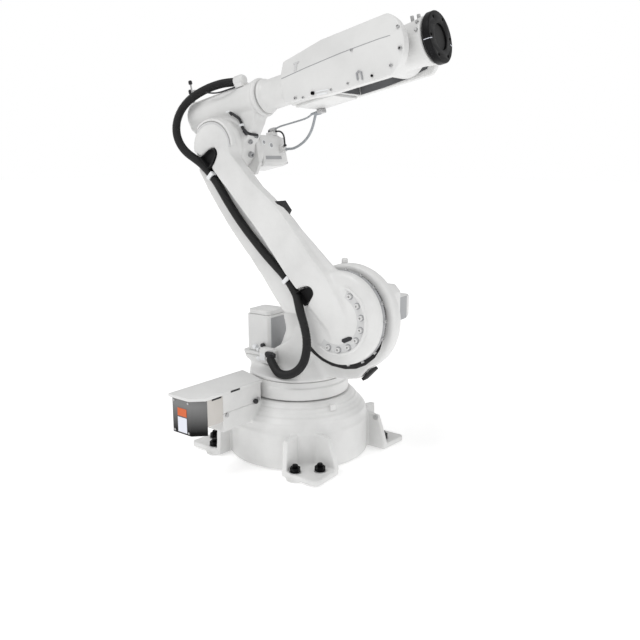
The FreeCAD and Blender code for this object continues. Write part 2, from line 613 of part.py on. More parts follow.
# ---------------------------------------------------------------- forearm
def build_forearm():
    """Forearm: neck tube, core block, fork cheeks behind two side covers."""
    core = new_body("forearm_frame", UPPER)
    start = S["barrel_front"] + 18 + S["seam_gap"]
    tube = S["tube_radius"]
    reach, fork = S["upper_arm_reach"], S["fork_half"]
    turn(core, "X", [(start, 0), (start, tube + 10), (start + 14, tube + 10), (start + 20, tube),
                     (350, tube), (350, 0)])
    block = [(-fork, -84), (-fork, 56), (-fork + 20, 76), (fork - 20, 76), (fork, 56),
             (fork, -84), (fork - 20, -98), (-fork + 20, -98)]
    rear = S["cover_start"] - 12
    extrude(core, "X", rear, reach - 250, [block])
    turn(core, "X", [(349, 0), (349, tube), (360, tube), (rear + 1, 94), (rear + 1, 0)])
    build_cover("near_cover", -1, -S["cheek_near"], (-90, -113, -118))
    build_cover("far_cover", 1, S["cheek_far"], (-88, -96, -97))
    belly = new_body("belly_cover", UPPER)
    extrude(belly, "Z", -108, -98, [[(446, -94), (446, 94), (reach - 256, 94), (reach - 256, -94)]])
    clip = new_body("cable_clip", UPPER)
    extrude(clip, "Z", -126, -108, [[(448, 52), (448, 92), (472, 92), (472, 52)]])


def build_cover(label, side, outside, lows):
    """One forearm side cover, lofted through three sections and rounded at axis 5."""
    fork, reach = S["fork_half"], S["upper_arm_reach"]
    cover = new_body(label, UPPER)
    start = S["cover_start"]
    stations = [(start, lows[0], 8, 78), (start + S["cover_knee"], lows[1], 21, 109),
                (reach + S["cheek_radius"], lows[2], 30, 117)]
    sketches = []
    for x, low, seam, high in stations:
        sketch = new_sketch(cover, "YZ_Plane", V(0, 0, x))
        draw_polygon(sketch, [(side * fork, low), (side * outside, low), (side * outside, seam),
                              (side * (fork + 7), high), (side * fork, high)])
        sketches.append(sketch)
    loft = cover.newObject("PartDesign::AdditiveLoft", "Loft")
    loft.Profile = sketches[0]
    loft.Sections = sketches[1:]
    loft.Ruled = True
    DOC.recompute()
    nose = arc_points((reach, 0), S["cheek_radius"], -math.degrees(math.asin(0.92)), 66, 30)
    nose += [(reach + 60, 200), (reach + 200, 200), (reach + 200, -200), (nose[0][0], -200)]
    extrude(cover, "Y", -300, 300, [nose], cut=True)
    return cover


def build_wrist():
    """Wrist housing on axis 5 and the tool flange on axis 6."""
    wrist = new_body("wrist_housing", WRIST)
    half, radius = S["wrist_half"], S["wrist_radius"]
    turn(wrist, "Y", [(-half, 0), (-half, radius - 12), (-half + 12, radius),
                      (half - 12, radius), (half, radius - 12), (half, 0)])
    nose = S["flange_reach"] - S["flange_depth"] - S["seam_gap"]
    turn(wrist, "X", [(0, 0), (0, 80), (110, 86), (nose - 10, 92), (nose, 90), (nose, 0)])
    fittings = new_body("wrist_fittings", WRIST)
    for x, y in ((104, -16), (128, -8)):
        turn(fittings, "Z", [(80, 0), (80, 7), (104, 7), (104, 0)], (x, y))
    gap = S["touch_gap"]
    turn(fittings, "X", [(0, 0), (0, 80 + gap), (110, 86 + gap), (nose - 10, 92 + gap),
                         (nose - 10, 0)], cut=True)
    flange = new_body("tool_flange", FLANGE)
    depth, rim, bore = S["flange_depth"], S["flange_radius"], S["flange_bore"]
    turn(flange, "X", [(-depth, 0), (-depth, rim - 6), (-depth + 6, rim), (-3, rim), (0, rim - 3),
                       (0, bore), (-8, bore), (-8, 32), (-20, 32), (-20, 0)])
    circle = S["flange_bolt_circle"] / 2
    centres = [(circle * math.cos(math.radians(60 * k)), circle * math.sin(math.radians(60 * k)))
               for k in range(6)]
    extrude(flange, "X", -24, 1, circles=[(centre, 6) for centre in centres], cut=True)


# ---------------------------------------------------------------- output
def write_nodes():
    """Check every node and write its STEP file."""
    DOC.recompute()
    os.makedirs(OUT, exist_ok=True)
    for item in NODES:
        if "Invalid" in item.State or "Error" in item.State:
            raise RuntimeError(f"{item.Label} did not build")
        if item.Shape.isNull() or not item.Shape.isValid():
            raise RuntimeError(f"{item.Label} has a bad shape")
        item.Shape.exportStep(os.path.join(OUT, f"{item.Label}.step"))
        box = item.Shape.BoundBox
        print(f"{item.Label}: {item.Shape.Volume / 1e6:.2f} litres, "
              f"{box.XLength:.0f} x {box.YLength:.0f} x {box.ZLength:.0f}")


build_base()
build_axis_one_stop()
build_rear_box()
build_turret()
build_lower_arm()
build_harness()
build_elbow()
build_forearm()
build_wrist()
write_nodes()
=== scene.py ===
"""Finished looks of a jointed robot arm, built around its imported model."""
import json
import logging
import math
from dataclasses import dataclass
from enum import Enum

import bmesh
import bpy
import numpy as np
from mathutils import Matrix, Vector

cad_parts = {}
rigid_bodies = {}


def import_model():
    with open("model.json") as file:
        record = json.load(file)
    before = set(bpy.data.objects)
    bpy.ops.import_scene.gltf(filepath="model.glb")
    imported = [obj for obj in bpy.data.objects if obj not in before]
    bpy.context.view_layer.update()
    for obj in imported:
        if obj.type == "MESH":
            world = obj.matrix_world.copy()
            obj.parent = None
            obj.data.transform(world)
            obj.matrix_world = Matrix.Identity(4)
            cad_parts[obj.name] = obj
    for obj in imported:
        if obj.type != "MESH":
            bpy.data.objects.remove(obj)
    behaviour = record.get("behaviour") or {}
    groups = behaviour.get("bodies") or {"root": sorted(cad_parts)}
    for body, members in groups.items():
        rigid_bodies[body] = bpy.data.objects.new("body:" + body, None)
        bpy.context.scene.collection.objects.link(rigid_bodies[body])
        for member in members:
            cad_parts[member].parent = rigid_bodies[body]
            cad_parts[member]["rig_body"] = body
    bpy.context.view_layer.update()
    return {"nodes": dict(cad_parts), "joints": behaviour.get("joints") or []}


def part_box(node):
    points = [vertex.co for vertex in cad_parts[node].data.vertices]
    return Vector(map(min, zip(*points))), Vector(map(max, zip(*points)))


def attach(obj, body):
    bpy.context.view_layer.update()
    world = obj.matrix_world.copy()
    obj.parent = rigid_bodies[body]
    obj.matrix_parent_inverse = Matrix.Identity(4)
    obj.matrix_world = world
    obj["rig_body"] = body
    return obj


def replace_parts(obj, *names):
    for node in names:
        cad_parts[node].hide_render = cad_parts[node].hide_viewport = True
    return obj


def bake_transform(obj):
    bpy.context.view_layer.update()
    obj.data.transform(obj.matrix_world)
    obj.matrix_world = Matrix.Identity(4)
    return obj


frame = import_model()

LOG = logging.getLogger("robot_arm")
MM = 0.001
Point = tuple[float, float, float]
Outline = list[tuple[float, float]]
AHEAD, LEFT, RIGHT, ABOVE = (1, 0, 0), (0, 1, 0), (0, -1, 0), (0, 0, 1)
SHARP = math.radians(24)


# ---- places
@dataclass(frozen=True)
class Axes:
    """Right-handed axes of one casting; places in them are given in millimetres."""

    matrix: Matrix

    def at(self, x: float, y: float, z: float) -> Vector:
        """Place of a local point in the row frame, in metres."""
        return self.matrix @ (Vector((x, y, z)) * MM)

    def along(self, x: float, y: float, z: float) -> Vector:
        """Direction of a local vector in the row frame."""
        return (self.matrix.to_3x3() @ Vector((x, y, z))).normalized()

    def aimed(self, place: Point, axis: Point, upright: Point = (0, 0, 1)) -> Matrix:
        """Axes for a small part.

        Args:
            place: where the part sits, in millimetres.
            axis: the way its own Z points.
            upright: the way its own Y points, as nearly as it can.

        Returns:
            The part's matrix in the row frame.
        """
        z = self.along(*axis)
        y = self.along(*upright)
        if abs(z.dot(y)) > 0.95:
            y = self.along(1, 0, 0)
        x = y.cross(z).normalized()
        turned = Matrix((x, z.cross(x), z)).transposed().to_4x4()
        return Matrix.Translation(self.at(*place)) @ turned


def axes_from(origin: Vector, x: Vector, y: Vector) -> Axes:
    """Axes with a given origin, X and Y."""
    turned = Matrix((x, y, x.cross(y))).transposed().to_4x4()
    return Axes(Matrix.Translation(origin) @ turned)


def shifted(place: Matrix, x: float, y: float, z: float) -> Matrix:
    """A part's axes moved along themselves, in millimetres."""
    return place @ Matrix.Translation(Vector((x, y, z)) * MM)


def near_side(axes: Axes) -> Matrix:
    """Axes on a casting's near side: X forward, Y up, Z out."""
    return axes.aimed((0, 0, 0), RIGHT)


JOINTS = {joint["name"]: joint for joint in frame["joints"]}
JOINT_AT = {name: Vector(joint["pos_m"]) for name, joint in JOINTS.items()}
SIDE = Vector(JOINTS["axis_two"]["axis"]).normalized()
ARM_UP = (JOINT_AT["axis_three"] - JOINT_AT["axis_two"]).normalized()
REACH = Vector(JOINTS["axis_four"]["axis"]).normalized()
UP = Vector((0, 0, 1))
BASE = Axes(Matrix.Identity(4))
TURRET = axes_from(Vector((0, 0, 0)), SIDE.cross(UP), SIDE)
LOWER = axes_from(JOINT_AT["axis_two"], SIDE.cross(ARM_UP), SIDE)
ELBOW = axes_from(JOINT_AT["axis_three"], REACH, SIDE)
UPPER = axes_from(JOINT_AT["axis_four"], REACH, SIDE)
WRIST = axes_from(JOINT_AT["axis_five"], REACH, SIDE)
FLANGE = axes_from(JOINT_AT["axis_six"], REACH, SIDE)


# ---- finishes
def linear(colour: str) -> tuple[float, float, float, float]:
    """Turn an sRGB hex colour into linear values with full alpha."""
    parts = [int(colour[i:i + 2], 16) / 255 for i in (1, 3, 5)]
    return (*[c / 12.92 if c <= 0.04045 else ((c + 0.055) / 1.055) ** 2.4 for c in parts], 1.0)


def add_node(tree: bpy.types.NodeTree, kind: str, links: dict | None = None,
             values: dict | None = None, **settings: object) -> bpy.types.Node:
    """Add one shader node.

    Args:
        tree: the material's node tree.
        kind: Blender's name for the node.
        links: input name or number to the output socket that feeds it.
        values: input name or number to a constant.
        settings: properties of the node itself.

    Returns:
        The new node.
    """
    node = tree.nodes.new(kind)
    for name, value in settings.items():
        setattr(node, name, value)
    for name, value in (values or {}).items():
        node.inputs[name].default_value = value
    for name, socket in (links or {}).items():
        tree.links.new(socket, node.inputs[name])
    return node


def new_material(name: str) -> tuple[bpy.types.Material, bpy.types.NodeTree]:
    """Start an empty node material with its output node."""
    material = bpy.data.materials.new(name)
    material.use_nodes = True
    material.node_tree.nodes.clear()
    material.node_tree.nodes.new("ShaderNodeOutputMaterial")
    return material, material.node_tree


def noise(tree: bpy.types.NodeTree, where: bpy.types.NodeSocket, size_mm: float,
          detail: float, **more: float) -> bpy.types.NodeSocket:
    """Noise with patches about so many millimetres wide."""
    return add_node(tree, "ShaderNodeTexNoise", {"Vector": where},
                    {"Scale": 1000 / size_mm, "Detail": detail, **more}).outputs["Fac"]


def spread(tree: bpy.types.NodeTree, value: bpy.types.NodeSocket, low: float, high: float,
           start: float = 0.0, end: float = 1.0) -> bpy.types.NodeSocket:
    """Spread a value, taken from start to end, over low to high."""
    return add_node(tree, "ShaderNodeMapRange", {"Value": value},
                    {"From Min": start, "From Max": end,
                     "To Min": low, "To Max": high}).outputs["Result"]


def blended(tree: bpy.types.NodeTree, share: bpy.types.NodeSocket, colour: str,
            shade: str) -> bpy.types.NodeSocket:
    """Colour that turns to its shade by a share."""
    return add_node(tree, "ShaderNodeMix", {"Factor": share},
                    {"A": linear(colour), "B": linear(shade)}, data_type="RGBA").outputs["Result"]


def relief(tree: bpy.types.NodeTree, height: bpy.types.NodeSocket, strength: float,
           depth_m: float, under: bpy.types.NodeSocket | None = None) -> bpy.types.NodeSocket:
    """Surface relief from a height, over another relief if there is one."""
    links = {"Height": height, "Normal": under} if under else {"Height": height}
    return add_node(tree, "ShaderNodeBump", links,
                    {"Strength": strength, "Distance": depth_m}).outputs["Normal"]


def close_material(tree: bpy.types.NodeTree, links: dict, values: dict | None = None) -> None:
    """Feed a surface shader with its sockets and constants, and feed it to the output."""
    shader = add_node(tree, "ShaderNodeBsdfPrincipled", links, values)
    tree.links.new(shader.outputs["BSDF"], tree.nodes["Material Output"].inputs["Surface"])


@dataclass(frozen=True)
class Paint:
    """Sprayed two-pack enamel: soft gloss over a faint orange peel and the casting's skin."""

    name: str
    slot: str
    colour: str
    shade: str
    roughness: float = 0.38
    peel_mm: float = 5.0
    peel: float = 0.12
    skin_mm: float = 45.0
    skin: float = 0.25
    dust_mm: float = 260.0

    def material(self) -> bpy.types.Material:
        """Build the enamel."""
        material, tree = new_material(self.name)
        where = add_node(tree, "ShaderNodeTexCoord").outputs["Object"]
        cloud = noise(tree, where, self.dust_mm, 5.0, Roughness=0.6)
        dust = spread(tree, cloud, 0.0, 0.55, 0.38, 0.72)
        # Painted shade: pointiness greys the hollows, and the dust cloud adds random tone; the
        # larger of the two turns the colour towards its shade.
        shape = add_node(tree, "ShaderNodeNewGeometry").outputs["Pointiness"]
        hollow_shade = spread(tree, shape, 0.75, 0.0, 0.43, 0.5)
        dust_and_hollow_shade = add_node(tree, "ShaderNodeMath", {0: dust, 1: hollow_shade}, operation="MAXIMUM")
        low = relief(tree, noise(tree, where, self.skin_mm, 3.0), self.skin, 0.004)
        high = relief(tree, noise(tree, where, self.peel_mm, 2.0), self.peel, 0.001, low)
        close_material(tree, {
            "Base Color": blended(tree, dust_and_hollow_shade.outputs["Value"], self.colour, self.shade),
            "Roughness": spread(tree, cloud, self.roughness - 0.06, self.roughness + 0.1),
            "Normal": high}, {"Coat Weight": 0.15, "Coat Roughness": 0.25})
        return material


@dataclass(frozen=True)
class Metal:
    """Bare or plated steel, with the fine lines of its last tool or brush."""

    name: str
    slot: str
    colour: str
    shade: str
    roughness: float = 0.35
    line_mm: Point = (0.8, 0.8, 40.0)
    depth: float = 0.15
    reflection_fade_mm: tuple[float, float] | None = None
    cloud_mm: float = 90.0

    def material(self) -> bpy.types.Material:
        """Build the steel."""
        material, tree = new_material(self.name)
        where = add_node(tree, "ShaderNodeTexCoord").outputs["Object"]
        drawn = add_node(tree, "ShaderNodeMapping", {"Vector": where},
                         {"Scale": tuple(1000 / size for size in self.line_mm)})
        lines = noise(tree, drawn.outputs["Vector"], 1000.0, 3.0)
        share = add_node(tree, "ShaderNodeMix",
                         {"A": lines, "B": noise(tree, where, self.cloud_mm, 3.0)},
                         {"Factor": 0.5}, data_type="FLOAT").outputs["Result"]
        # Painted reflection: the tone runs from light at the top of the range to dark at its foot.
        if self.reflection_fade_mm:
            height = add_node(tree, "ShaderNodeSeparateXYZ", {0: where}).outputs["Z"]
            share = spread(tree, height, 1.0, 0.0, *[level * MM for level in self.reflection_fade_mm])
        close_material(tree, {
            "Base Color": blended(tree, share, self.colour, self.shade),
            "Roughness": spread(tree, lines, self.roughness - 0.1, self.roughness + 0.12),
            "Normal": relief(tree, lines, self.depth, 0.0005)}, {"Metallic": 1.0})
        return material


@dataclass(frozen=True)
class Moulded:
    """Plastic, rubber or film, and grey sheets of painted shade: dull, with the fine grain of its
    making.
    """

    name: str
    slot: str
    colour: str
    shade: str
    roughness: float = 0.55
    grain_mm: float = 1.2
    depth: float = 0.15
    cloud_mm: float = 60.0

    def material(self) -> bpy.types.Material:
        """Build the dull material."""
        material, tree = new_material(self.name)
        where = add_node(tree, "ShaderNodeTexCoord").outputs["Object"]
        cloud = noise(tree, where, self.cloud_mm, 4.0)
        close_material(tree, {
            "Base Color": blended(tree, cloud, self.colour, self.shade),
            "Roughness": spread(tree, cloud, self.roughness - 0.08, self.roughness + 0.12),
            "Normal": relief(tree, noise(tree, where, self.grain_mm, 2.0), self.depth, 0.0006)})
        return material


class Finish(Enum):
    """Every finish on the arm."""

    # Off-white body, with painted shade greying its hollows, and the slow waves of a casting.
    CASTING = Paint("sprayed_enamel_on_cast_iron", "enamel", "#E4E4E3", "#C6C6C5")
    # The same off-white, calmer, so that the long covers read as smooth shells.
    COVER = Paint("sprayed_enamel_on_covers", "enamel", "#E4E4E3", "#D0D0CF", skin=0.08)
    # Flat, even light grey that sets the motors off from the castings.
    MOTOR = Paint("sprayed_enamel_on_motors", "motor_enamel", "#E0E0DF", "#C9C9C9", skin=0.05)
    # Mid grey: painted shade on shaded motor sides, the disc's rim band and bolt wells, so they
    # read as set back; also plain grey marks.
    SHADED = Paint("grey_enamel_for_painted_shade_and_marks", "motor_enamel", "#A6A7A9", "#8E8F92",
                   skin=0.05)
    # Painted shade: a grey a step below the body, so that the bolt ring and the hub groove read as
    # sunken bands.
    DISC_FACE = Paint("enamel_with_painted_recess_shade", "enamel", "#D6D6D6", "#B4B5B5")
    # Warm grey sheet with hardly any skin.
    BOX = Paint("sprayed_enamel_on_sheet_steel", "box_enamel", "#CFCBC6", "#BDB9B3", skin=0.03)
    # Brushed sheet with a painted reflection that goes from bright at its top to dark at its foot.
    STAINLESS = Metal("brushed_stainless_sheet", "stainless", "#858585", "#1C1C1C", 0.42,
                      (0.9, 60.0, 60.0), reflection_fade_mm=(232.0, 345.0))
    # Black turned face with fine rings and a dull shine.
    OXIDE = Metal("black_oxide_on_turned_steel", "black_oxide", "#313132", "#161617", 0.42,
                  (60.0, 1.0, 1.0))
    # Near black heads with a weak shine.
    BLACK_BOLT = Metal("black_oxide_on_bolts", "black_oxide", "#1E1E1F", "#121213", 0.45,
                       (2.0, 2.0, 2.0))
    # Small pale heads and unions that catch the light.
    ZINC = Metal("zinc_plate_on_small_parts", "zinc", "#CFCFCF", "#AFAFB0", 0.42, (2.0, 2.0, 2.0))
    # Dark dull steel that draws the line of the gear seam.
    SEAM = Metal("ground_steel_in_the_seam", "dark_seal", "#4A4B4D", "#2C2D2E", 0.5,
                 (2.0, 2.0, 2.0))
    # Deep black whose shine shows only on the ribs.
    HOSE = Moulded("moulded_black_conduit", "hose", "#060607", "#0E0E0F", 0.6)
    # Soft black with no shine, for rubber parts and for painted shade under the arm's disc and in
    # its pockets.
    RUBBER_AND_SHADE_BLACK = Moulded("black_rubber_and_painted_shade", "rubber", "#161617", "#202022", 0.65)
    # Painted shade: rough mid grey sheets in the shaded gap inside the covers.
    UNDERSIDE_SHADE = Moulded("grey_painted_shade_under_covers", "dark_seal", "#6A6B6D", "#525355", 0.85, 2.5, 0.3)
    # Black plugs and knobs, a little shinier than the rubber.
    BLACK_PLASTIC = Moulded("moulded_black_plastic", "black_plastic", "#17171A", "#222226", 0.45)
    # Clean white bands across the black hose.
    CLAMP = Moulded("moulded_white_nylon", "clamp", "#F2F3F4", "#E2E4E6", 0.45)
    # Thin pale grey lines under the forearm.
    CABLE = Moulded("extruded_grey_cable_sheath", "grey_cable", "#A9ADB1", "#93979B", 0.5)
    # Thin black leads with a slight shine.
    BLACK_CABLE = Moulded("extruded_black_cable_sheath", "black_plastic", "#1A1A1C", "#26262A", 0.5)
    # The one strong colour, a blank tag.
    ORANGE = Moulded("printed_orange_film", "orange_tag", "#DE6A34", "#D4602C", 0.5)
    # A faintly blue white, a blank tag.
    WHITE = Moulded("printed_white_film", "white_tag", "#EEF0F8", "#E2E5F0", 0.45)

    def material(self) -> bpy.types.Material:
        """The finish's material, made once."""
        return bpy.data.materials.get(self.value.name) or self.value.material()

    def dress(self, piece: bpy.types.Object) -> None:
        """Give a piece this finish's material."""
        piece.data.materials.clear()
        piece.data.materials.append(self.material())


# ---- pieces
def put(name: str, mesh: bpy.types.Mesh, body: str, finish: Finish) -> bpy.types.Object:
    """Show a mesh as a dressed piece that rides on a body."""
    piece = bpy.data.objects.new(name, mesh)
    bpy.context.scene.collection.objects.link(piece)
    finish.dress(piece)
    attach(piece, body)
    LOG.info("%s on %s, %d faces", name, body, len(mesh.polygons))
    return piece


def body_of(node: str) -> str:
    """The body that a construction node belongs to."""
    return frame["nodes"][node]["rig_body"]


def joined_mesh(node: str) -> bmesh.types.BMesh:
    """A node's mesh with its split edges joined again."""
    bm = bmesh.new()
    bm.from_mesh(frame["nodes"][node].data)
    bmesh.ops.remove_doubles(bm, verts=bm.verts, dist=0.02 * MM)
    return bm


def smooth_mesh(bm: bmesh.types.BMesh, name: str, sharp: float) -> bpy.types.Mesh:
    """Close a bmesh as a smooth mesh whose edges above an angle, in degrees, stay sharp."""
    mesh = bpy.data.meshes.new(name)
    bm.to_mesh(mesh)
    bm.free()
    mesh.shade_smooth()
    mesh.set_sharp_from_angle(angle=math.radians(sharp))
    return mesh


def skin_over(bm: bmesh.types.BMesh, rings: list[list[bmesh.types.BMVert]]) -> None:
    """Join rings of points in order and close both ends; a ring of one point is a tip."""
    for first, second in zip(rings, rings[1:]):
        count = max(len(first), len(second))
        for k in range(count):
            after = (k + 1) % count
            corners = (first[k % len(first)], first[after % len(first)],
                       second[after % len(second)], second[k % len(second)])
            bm.faces.new(list(dict.fromkeys(corners)))
    for end in (rings[0][::-1], rings[-1]):
        if len(end) > 1:
            bm.faces.new(end)


def with_modifiers(mesh: bpy.types.Mesh, steps: list[tuple[str, dict]]) -> bpy.types.Mesh:
    """Run a list of modifiers on a mesh.

    Args:
        mesh: the mesh to start from.
        steps: modifier kinds with their settings, in order.

    Returns:
        A new mesh with all of them applied.
    """
    holder = bpy.data.objects.new("holder", mesh)
    bpy.context.scene.collection.objects.link(holder)
    for kind, settings in steps:
        modifier = holder.modifiers.new(kind.lower(), kind)
        for name, value in settings.items():
            setattr(modifier, name, value)
    bpy.context.view_layer.update()
    result = bpy.data.meshes.new_from_object(
        holder.evaluated_get(bpy.context.evaluated_depsgraph_get()))
    bpy.data.objects.remove(holder)
    return result


def machined(node: str, finish: Finish, edge_mm: float = 2.0,
             segments: int = 2) -> bpy.types.Object:
    """Redraw a node with its sharp edges broken.

    Args:
        node: the construction node that it stands for.
        finish: its finish.
        edge_mm: size of the broken edge.
        segments: steps across the broken edge.

    Returns:
        The new piece.
    """
    bm = joined_mesh(node)
    flat = math.radians(1.0)
    bmesh.ops.dissolve_limit(bm, angle_limit=flat, verts=bm.verts, edges=bm.edges)
    bm.normal_update()
    sharp = [e for e in bm.edges if len(e.link_faces) == 2
             and e.calc_face_angle(0.0) > SHARP]
    bmesh.ops.bevel(bm, geom=sharp, offset=edge_mm * MM, segments=segments, profile=0.6,
                    affect="EDGES", clamp_overlap=True, harden_normals=False)
    bmesh.ops.remove_doubles(bm, verts=bm.verts, dist=0.01 * MM)
    mesh = smooth_mesh(bm, node + "_finished", 32)
    piece = put(mesh.name, mesh, body_of(node), finish)
    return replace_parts(piece, node)


def cast(node: str, finish: Finish, grid_mm: float = 5.0, fillet_mm: float = 0.0,
         soften: int = 6, keep: float = 0.5) -> bpy.types.Object:
    """Redraw a node as a casting with soft edges and filled inner corners.

    Args:
        node: the construction node that it stands for.
        finish: its finish.
        grid_mm: spacing of the new surface's points.
        fillet_mm: radius left in the inner corners.
        soften: rounds of smoothing that take the outer edges down.
        keep: share of the faces kept at the end.

    Returns:
        The new piece.
    """
    bm = joined_mesh(node)
    start = bpy.data.meshes.new(node + "_start")
    bm.to_mesh(start)
    bm.free()
    grid = ("REMESH", {"mode": "VOXEL", "voxel_size": grid_mm * MM})
    steps = [grid]
    if fillet_mm:
        steps += [("DISPLACE", {"strength": fillet_mm * MM, "mid_level": 0.0}), grid,
                  ("SMOOTH", {"factor": 0.5, "iterations": 2}),
                  ("DISPLACE", {"strength": -fillet_mm * MM, "mid_level": 0.0}), grid]
    steps += [("SMOOTH", {"factor": 0.5, "iterations": soften}),
              ("DECIMATE", {"ratio": keep})]
    mesh = with_modifiers(start, steps)
    mesh.name = node + "_skin"
    mesh.shade_smooth()
    piece = put(node + "_skin", mesh, body_of(node), finish)
    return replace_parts(piece, node)


class Gathered:
    """One piece gathered from small turned and cut solids."""

    def __init__(self, name: str, body: str, finish: Finish) -> None:
        """Start an empty piece."""
        self.name, self.body, self.finish = name, body, finish
        self.bm = bmesh.new()

    def turned(self, place: Matrix, profile: Outline, sides: int = 32) -> "Gathered":
        """Add a solid turned about the local Z.

        Args:
            place: its matrix in the row frame.
            profile: (along, radius) pairs in millimetres, from end to end.
            sides: facets round it.

        Returns:
            This piece.
        """
        rings = []
        for along, radius in profile:
            if radius < 1e-6:
                rings.append([self.bm.verts.new(place @ Vector((0, 0, along * MM)))])
                continue
            ring = []
            for k in range(sides):
                turn = 2 * math.pi * k / sides
                spot = Vector((radius * math.cos(turn), radius * math.sin(turn), along)) * MM
                ring.append(self.bm.verts.new(place @ spot))
            rings.append(ring)
        skin_over(self.bm, rings)
        return self

    def arched(self, place: Matrix, section: Outline, start: float, end: float,
               steps: int = 48) -> "Gathered":
        """Sweep a closed section part of the way round the local Z.

        Args:
            place: its matrix in the row frame.
            section: (along, radius) corners in millimetres.
            start: first angle from the local X, in degrees.
            end: last angle, in degrees.
            steps: facets along the arc.

        Returns:
            This piece.
        """
        rings = []
        for k in range(steps + 1):
            turn = math.radians(start + (end - start) * k / steps)
            rings.append([self.bm.verts.new(place @ (Vector(
                (radius * math.cos(turn), radius * math.sin(turn), along)) * MM))
                for along, radius in section])
        skin_over(self.bm, rings)
        return self

    def tray(self, place: Matrix, outline: Outline, low: float, high: float,
             wall: float = 1.5) -> "Gathered":
        """Line a pocket: a thin floor with a thin wall standing round it."""
        self.prism(place, outline, low, low + 0.6)
        for (x1, y1), (x2, y2) in zip(outline, outline[1:] + outline[:1]):
            run = Vector((x2 - x1, y2 - y1))
            side = Vector((run.y, -run.x)).normalized() * wall
            self.prism(place, [(x1, y1), (x2, y2), (x2 + side.x, y2 + side.y),
                               (x1 + side.x, y1 + side.y)], low, high)
        return self

    def strip(self, place: Matrix, points: Outline, width: float, low: float,
              high: float) -> "Gathered":
        """Lay a thin strip along a line of points, spread in the local Y."""
        outline = [(x, y + width / 2) for x, y in points]
        return self.prism(place, outline + [(x, y - width / 2) for x, y in points[::-1]], low, high)

    def prism(self, place: Matrix, outline: Outline, low: float, high: float,
              edge_mm: float = 0.0) -> "Gathered":
        """Add a straight-sided solid.

        Args:
            place: its matrix in the row frame.
            outline: its corners in the local XY plane, in millimetres.
            low: start along the local Z.
            high: end along the local Z.
            edge_mm: size of its broken edges.

        Returns:
            This piece.
        """
        own = bmesh.new()
        floor = [own.verts.new(Vector((x, y, low)) * MM) for x, y in outline]
        roof = [own.verts.new(Vector((x, y, high)) * MM) for x, y in outline]
        skin_over(own, [floor, roof])
        if edge_mm:
            sharp = [e for e in own.edges if e.calc_face_angle(0.0) > SHARP]
            bmesh.ops.bevel(own, geom=sharp, offset=edge_mm * MM, segments=2, profile=0.6,
                            affect="EDGES", clamp_overlap=True)
        own.transform(place)
        solid = bpy.data.meshes.new("solid")
        own.to_mesh(solid)
        own.free()
        self.bm.from_mesh(solid)
        bpy.data.meshes.remove(solid)
        return self

    def block(self, place: Matrix, half_x: float, half_y: float, low: float, high: float,
              edge_mm: float = 1.0) -> "Gathered":
        """Add a rectangular block with broken edges."""
        corners = [(-half_x, -half_y), (half_x, -half_y), (half_x, half_y), (-half_x, half_y)]
        return self.prism(place, corners, low, high, edge_mm)

    def hexagon(self, place: Matrix, across: float, low: float, high: float) -> "Gathered":
        """Add a six-sided nut or head, sized across its flats."""
        radius = across / math.sqrt(3)
        turns = [math.radians(60 * k) for k in range(6)]
        corners = [(radius * math.cos(t), radius * math.sin(t)) for t in turns]
        return self.prism(place, corners, low, high, across * 0.03)

    def cap_screw(self, place: Matrix, thread: float) -> "Gathered":
        """Add the head of a socket screw, sized by its thread."""
        head, socket = thread * 0.8, thread * 0.45
        return self.turned(place, [(0, head), (thread * 0.88, head),
            (thread, head - thread * 0.1), (thread, socket), (thread * 0.5, socket),
            (thread * 0.5, 0)], 20)

    def show(self) -> bpy.types.Object:
        """Close the piece and put it on its body."""
        bmesh.ops.recalc_face_normals(self.bm, faces=self.bm.faces)
        return put(self.name, smooth_mesh(self.bm, self.name, 35), self.body, self.finish)


